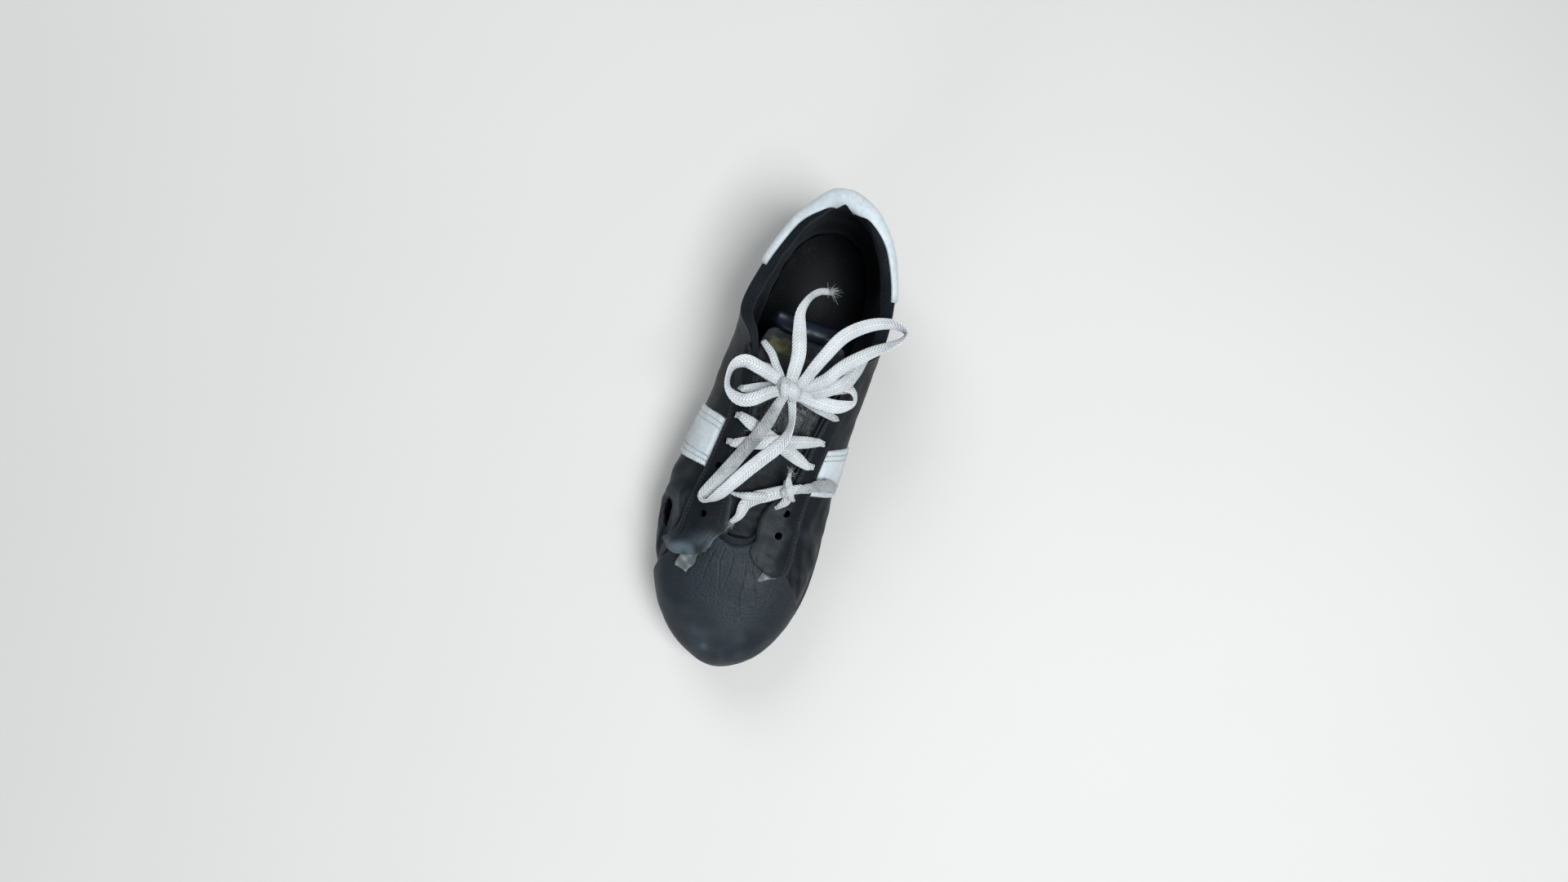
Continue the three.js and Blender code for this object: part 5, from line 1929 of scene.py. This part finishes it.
@dataclass
class Trim:
    """White leather: heel tab and one plain saddle band a side, with pinked edges."""

    palette: Palette
    tab_high: tuple[tuple[float, float], ...] = ((0, 1.8), (1, 1.95), (2, 1.68), (3, 1.5), (4, 1.42))
    tab_reach: float = 4.0
    tab_thick: float = 1.3
    band_thick: float = 1.1
    band_wide: float = 29.0
    band_low: float = 0.165
    band_high: float = 0.785
    band_teeth: int = 26
    band_rows: tuple[float, ...] = (3.2, 6.2, 22.8, 25.8)

    @staticmethod
    def tab_edge(s: Array) -> Array:
        """Height of the tab's lower edge at section s."""
        return 0.5 + 0.0335 * np.abs(s) ** 1.8

    def heel_tab(self) -> None:
        """Builds the tab that wraps the heel's top edge, with two lobes inside."""
        across, along = 40, 220

        def place(u: Array, v: Array) -> Array:
            """Point of the tab.

            Args:
                u: share from its lower edge over the rim.
                v: share round the heel.

            Returns:
                Points in millimetres.
            """
            s = self.tab_reach * (2 * v - 1)
            low = self.tab_edge(s)
            high = np.interp(np.abs(s), *zip(*self.tab_high))
            high += 0.14 * np.sin(s * 1.7) ** 2 * smooth(np.abs(s), 2.3, 1.6)
            w = low + (high - low) * u
            edge = rounded(np.minimum(margin(u) * 34, margin(v) * 170), 1.5)
            lift = FORM.GAP + self.tab_thick + 0.15 * ripple(FORM.skin(s, w), 13, 31)
            return FORM.raised(s, w, lift * edge + CREASES.rise(s, np.clip(w, 0, 1)))

        piece = Bench.grid("worn_heel_tab", across, along, place)
        u, v = Bench.shares(across, along)
        wear = 0.55 * smooth(margin(v), 0.035, 0) + 0.3 * smooth(np.abs(u - 0.62), 0.06, 0)
        wear += 0.2 * np.clip(ripple(Bench.points(piece) / MM, 15, 32), 0, 1)
        fold = smooth(margin(u), 0.07, 0) + 0.8 * smooth(v, 0.97, 1)
        Bench.paint(piece, wear=np.clip(wear, 0, 1), fold=np.clip(fold, 0, 1))
        Bench.sheet(piece, 0.7, 60, self.palette.white)
        settle(piece, "white_leather", "heel_tab")

    def band_spot(self, side: Side, u: Array, w: Array) -> Array:
        """Section of the band at u across and height w on a side."""
        return side.turn(6.9 + 0.8 * (w - 0.12) / 0.63 + u - 0.5)

    def band(self, side: Side) -> None:
        """Builds the plain saddle band of one side.

        Args:
            side: side of the shoe.
        """
        name = f"side_band_{side.value}"
        across, along = 60, 150

        def place(u: Array, v: Array) -> Array:
            """Point of the band at u across and v up the wall.

            Args:
                u: share across.
                v: share up the wall.

            Returns:
                Points in millimetres.
            """
            w = self.band_low + (self.band_high - self.band_low) * v
            teeth = np.abs(((v * self.band_teeth) % 1) - 0.5) * 4 - 1
            teeth = 0.018 * teeth * smooth(margin(u), 0.06, 0)
            s = self.band_spot(side, np.clip(u, 0, 1) + np.where(u > 0.5, 1, -1) * teeth, w)
            edge = rounded(margin(u) * self.band_wide, 1.0) * (1 - 0.75 * smooth(v, 0.93, 0.99))
            channel = sum(np.exp(-(((u * self.band_wide - k) / 0.6) ** 2)) for k in self.band_rows)
            lift = FORM.GAP * edge + self.band_thick * (0.25 + 0.75 * edge) - 0.28 * channel
            lift = lift + 0.12 * ripple(FORM.outside(s, w), 12, 33)
            return FORM.raised(s, w, lift + CREASES.rise(s, w))

        piece = Bench.grid(f"worn_{name}", across, along, place)
        u, v = Bench.shares(across, along)
        wear = 0.35 * smooth(v, 0.25, 0) + 0.35 * ripple(Bench.points(piece) / MM, 13, 34)
        fold = smooth(margin(u), 0.03, 0) + smooth(v, 0.1, 0)
        Bench.paint(piece, wear=np.clip(wear, 0, 1), fold=np.clip(fold, 0, 1))
        Bench.sheet(piece, 0.8, 50, self.palette.white)
        settle(piece, "white_leather", name)


@dataclass
class Tongue:
    """Crumpled tongue under the laces, with its padded top roll and worn patch."""

    palette: Palette
    thick: float = 3.4
    sections: tuple[float, ...] = (6.2, 6.6, 7, 7.5, 8, 8.5, 9, 9.5, 10, 10.8)
    free: tuple[Point, ...] = ((18, 4, 0.82), (11, 1, 0.895), (5, 0, 0.94))
    roll_half: tuple[float, float] = (5.8, 4.6)

    def rows(self) -> Array:
        """Cross rows of the tongue's top.

        Returns:
            Rows of points in millimetres, from its free end forward.
        """
        under = FORM.GAP + 0.5
        f = np.linspace(0, 1, 25)

        def row(s: float) -> Array:
            """One row hung between both sides of the throat.

            Args:
                s: section of its lateral end.

            Returns:
                Points in millimetres.
            """
            pair = np.array([s, FORM.RING - s])
            lip, edge = FORM.raised(pair, 2.02, under), FORM.raised(pair, 2.12, under)
            middle = lip[0] + (lip[1] - lip[0]) * f[:, None]
            middle[:, 2] += 4 * 1.2 * f * (1 - f)
            return np.vstack([edge[:1], middle, edge[1:]])

        first = row(self.sections[0])
        centre = (first[0] + first[-1]) / 2
        made = []
        for back, fall, narrow in self.free:
            moved = first - np.array([back, 0, fall])
            moved[:, 1] = centre[1] + (first[:, 1] - centre[1]) * narrow
            made.append(moved)
        return np.array(made + [first] + [row(s) for s in self.sections[1:]])

    def build(self) -> None:
        """Builds the tongue."""
        rows = self.rows()
        count, width = rows.shape[:2]

        def place(u: Array, v: Array) -> Array:
            """Point of the tongue's top at u across and v forward.

            Args:
                u: share across.
                v: share forward.

            Returns:
                Points in millimetres.
            """
            a, b = v * (count - 1), u * (width - 1)
            i = np.minimum(a.astype(int), count - 2)
            j = np.minimum(b.astype(int), width - 2)
            p, q = (a - i)[:, None], (b - j)[:, None]
            near, far = (rows[k, j] * (1 - q) + rows[k, j + 1] * q for k in (i, i + 1))
            spot = near * (1 - p) + far * p
            calm = smooth(margin(u), 0.02, 0.14) * smooth(v, 1.0, 0.93)
            crush = 1.1 * ripple(spot, 13, 41) + 0.7 * ripple(spot, 6, 42) - 1.8
            spot[:, 2] += crush * calm
            return spot

        piece = Bench.grid("worn_tongue", 60, 170, place)
        spots = Bench.points(piece) / MM
        x = spots[:, 0]
        patch = np.exp(-(((x + 47) / 5) ** 2) - ((spots[:, 1] + 9) / 10) ** 2)
        patch = patch * (1 + 0.5 * ripple(spots, 7, 43))
        wear = smooth(x, -40, -24) * smooth(x, 20, -6) + 0.35 * smooth(x, -2, 8) * smooth(x, 30, 18)
        Bench.paint(piece, patch=np.clip(patch * 1.3, 0, 1), wear=np.clip(0.75 * wear, 0, 1))
        Bench.sheet(piece, self.thick, 180, self.palette.tongue)
        settle(piece, "tongue_cloth", "tongue")

    def roll(self) -> None:
        """Padded satin roll along the tongue's free end."""
        line = self.rows()[0]

        def place(u: Array, v: Array) -> Array:
            """Point of the roll at angle u and place v across.

            Args:
                u: share round the roll.
                v: share across the tongue.

            Returns:
                Points in millimetres.
            """
            core = blend(line, v * (len(line) - 1))
            end = np.sqrt(np.clip(1 - (2 * v - 1) ** 8, 0.02, 1))
            c, s = np.cos(2 * math.pi * u), np.sin(2 * math.pi * u)
            pinch = 1 + 0.04 * np.sin(v * 21) * c + 0.006 * np.sin(v * 47)
            back = -3.4 - 0.22 * np.clip(-3 - core[:, 1], 0, 20)
            long, high = self.roll_half
            swell = np.stack([c * long, 0 * v, s * high], -1) * (end * pinch)[:, None]
            return core + np.stack([back, 0 * v, -0.6 + 0 * v], -1) + swell

        piece = Bench.grid("worn_tongue_roll", 20, 64, place)
        Bench.mend(piece, 1e-5, cap=True)
        Bench.soften(piece)
        Bench.dress(piece, self.palette.roll)
        settle(piece, "tongue_cloth")


@dataclass
class Sewing:
    """Stitches along stays, bands, tab and sole."""

    palette: Palette
    stays: dict[Side, Eyestay]
    trim: Trim
    width: float = 0.62
    height: float = 0.42
    stay_rows: tuple[float, ...] = (0.085, 0.17, 0.915, 0.835)
    tab_rows: tuple[float, ...] = (0.028, 0.062)

    def bead(self, length: float) -> tuple[Array, Array]:
        """Small rounded stitch.

        Args:
            length: length in millimetres.

        Returns:
            Vertices and quads.
        """
        rings, sides = 5, 6
        spots, faces = [], [[0, 5, 4, 3], [0, 3, 2, 1]]
        for k in range(rings):
            t = k / (rings - 1)
            fat = max(0.25, math.sin(math.pi * (0.12 + 0.76 * t)))
            for j in range(sides):
                angle = 2 * math.pi * j / sides
                rise = math.sin(angle) * self.height / 2 * fat + 0.2 * self.height * fat
                spots.append(((t - 0.5) * length, math.cos(angle) * self.width / 2 * fat, rise))
                a, b = k * sides + j, k * sides + (j + 1) % sides
                if k < rings - 1:
                    faces.append([a, b, b + sides, a + sides])
        last = (rings - 1) * sides
        faces += [[last, last + 1, last + 2, last + 3], [last, last + 3, last + 4, last + 5]]
        return np.array(spots), np.array(faces)

    @staticmethod
    def along(points: Array, normals: Array, pitch: float) -> tuple[Array, Array]:
        """Even places along a line on a surface.

        Args:
            points: line in millimetres.
            normals: surface normals on it.
            pitch: distance between stitches.

        Returns:
            Frames and places.
        """
        walk = walked(points)
        stops = np.arange(pitch / 2, walk[-1], pitch)

        def at(shift: float, rows: Array) -> Array:
            """Rows read at the stops, moved along by a shift."""
            return np.stack([np.interp(stops + shift, walk, column) for column in rows.T], -1)

        up = at(0.0, normals)
        ahead = unit(at(0.3, points) - at(-0.3, points))
        up = unit(up - (up * ahead).sum(axis=1, keepdims=True) * ahead)
        return np.stack([ahead, np.cross(up, ahead), up], -1), at(0.0, points)

    def sew(
        self, name: str, lines: Sequence[tuple[Array, Array]], thread: bpy.types.Material, slot: str,
        pitch: float = 2.3,
    ) -> None:
        """Sews rows of stitches, copies of one bead.

        Args:
            name: name of the piece.
            lines: points and normals of each row.
            thread: its material.
            slot: material slot of the record.
            pitch: distance between stitches in millimetres.
        """
        placed = (self.along(*line, pitch) for line in lines)
        frames, middles = (np.concatenate(part) for part in zip(*placed))
        vertices, quads = self.bead(pitch * 0.78)
        spots = np.einsum("nij,kj->nki", frames, vertices) + middles[:, None, :]
        first = np.arange(len(middles)) * len(vertices)
        piece = Bench.mesh(name, spots, (quads[None] + first[:, None, None]).reshape(-1, 4).tolist())
        Bench.soften(piece)
        Bench.dress(piece, thread)
        settle(piece, slot)

    @staticmethod
    def skin_line(s: Array, w: Array, lift: float) -> tuple[Array, Array]:
        """Points and normals of a line raised from the creased skin."""
        return FORM.raised(s, w, FORM.GAP + lift + CREASES.rise(s, w)), FORM.normal(s, w)

    def build(self) -> None:
        """Sews every row."""
        t = np.linspace(0, 1, 260)
        rows = []
        for side, stay in self.stays.items():
            for u in self.stay_rows:
                spot = np.full_like(t, u), 0.02 + 0.9 * t
                s, w, _ = stay.spot(*spot)
                rows.append((stay.place(*spot), FORM.normal(side.turn(s), w)))
        self.sew("stay_stitches", rows, self.palette.black_thread, "black_leather")
        rows = []
        w = 0.18 + 0.6 * t
        for side in Side:
            for place in self.trim.band_rows:
                u = np.full_like(w, place / self.trim.band_wide)
                rows.append(self.skin_line(self.trim.band_spot(side, u, w), w, 0.9))
        self.sew("band_stitches", rows, self.palette.grey_thread, "white_leather")
        s = -3.7 + 7.4 * t
        rows = []
        for drop in self.tab_rows:
            w = np.minimum(self.trim.tab_edge(s) + drop * (1 + 0.4 * (4 - np.abs(s)) / 4), 0.985)
            rows.append(self.skin_line(s, w, 1.25))
        self.sew("tab_stitches", rows, self.palette.grey_thread, "white_leather")
        ring = FORM.even_sections(1200)
        ground, rim = np.maximum(FORM.at("ground", ring), 0), FORM.at("rim", ring)
        groove = FORM.beside(ring, -0.95, ground + (rim - ground) * 0.8), FORM.outward(ring)
        self.sew("sole_stitches", [groove], self.palette.black_thread, "black_rubber", 4.2)


@dataclass
class Fraying:
    """Loose fibres at frayed cloth and broken lace ends."""

    palette: Palette
    radius: float = 0.16
    steps: int = 7
    # middle, way, count, length, spread
    places: tuple[tuple[Point, Point, int, float, float], ...] = (
        ((-82, 9.4, 77.4), (-0.3, 1, -0.2), 60, 4.6, 1.8),
        ((56, -8, 60.4), (1, -0.5, 0.1), 44, 4.2, 1.8),
        ((20.8, 16.4, 71.5), (-1, -0.1, 0.6), 30, 3.4, 1.8),
        ((-20, 4, 72.5), (1, 0.3, 0.5), 70, 8.0, 11.0),
        ((4, -2, 71), (0.8, 0.2, 0.5), 50, 7.0, 9.0),
    )

    def tufts(self, name: str, roots: Array, ways: Array, lengths: Array, seed: int) -> Piece:
        """Curved thin fibres as one mesh.

        Args:
            name: name of the piece.
            roots: where each starts, in millimetres.
            ways: where each heads.
            lengths: length of each in millimetres.
            seed: number that fixes their curl.

        Returns:
            The new piece.
        """
        dice = np.random.default_rng(seed)
        count, steps = len(roots), self.steps
        curl = dice.normal(size=(count, 3)) * 0.55
        t = np.linspace(0, 1, steps)[None, :, None]
        ways = unit(ways)
        core = roots[:, None] + lengths[:, None, None] * (ways[:, None] * t + curl[:, None] * t * t * 0.7)
        core[..., 2] -= (lengths[:, None] * 0.16) * t[..., 0] ** 2
        side = unit(np.cross(ways, dice.normal(size=(count, 3))))
        other = np.cross(ways, side)
        fat = self.radius * (1 - 0.65 * t)
        corners = (2 * math.pi * k / 3 for k in range(3))
        spots = [core + (side * math.cos(a) + other * math.sin(a))[:, None] * fat for a in corners]
        faces = []
        for base in range(0, count * steps * 3, steps * 3):
            tip = base + (steps - 1) * 3
            for a in range(base, tip):
                b = a + 1 if (a - base) % 3 < 2 else a - 2
                faces.append((a, b, b + 3, a + 3))
            faces += [(base + 2, base + 1, base), (tip, tip + 1, tip + 2)]
        piece = Bench.mesh(name, np.stack(spots, 2), faces)
        Bench.soften(piece)
        return piece

    def build(self) -> None:
        """Puts a tuft at every frayed place."""
        dice = np.random.default_rng(77)
        roots, ways, lengths = [], [], []
        for spot, way, count, length, spread in self.places:
            scatter = dice.normal(size=(count, 3)) * spread * np.array([0.5, 0.5, 0.12])
            roots.append(np.array(spot) + scatter)
            ways.append(np.array(way) + dice.normal(size=(count, 3)) * 0.7)
            lengths.append(length * dice.uniform(0.35, 1.0, count))
        piece = self.tufts("frayed_fibres", *map(np.concatenate, (roots, ways, lengths)), 78)
        Bench.dress(piece, self.palette.fray)
        settle(piece, "white_lace")


def main() -> None:
    """Builds the scene, piece by piece."""
    logging.basicConfig(level=logging.INFO, format="%(message)s")
    studio = Studio()
    studio.camera()
    palette = Palette()
    lacing = Lacing(palette)
    lacing.knots()
    lacing.strands()
    lacing.bars()
    studio.lights()
    studio.floor()
    sole = Sole(palette)
    sole.build()
    sole.inside()
    Upper(palette, lacing).build()
    ToeCap(palette).build()
    stays = {side: Eyestay(palette, lacing, side) for side in Side}
    for stay in stays.values():
        stay.build()
    trim = Trim(palette)
    trim.heel_tab()
    for side in Side:
        trim.band(side)
    tongue = Tongue(palette)
    tongue.build()
    tongue.roll()
    Sewing(palette, stays, trim).build()
    Fraying(palette).build()


if __name__ == "__main__":
    main()
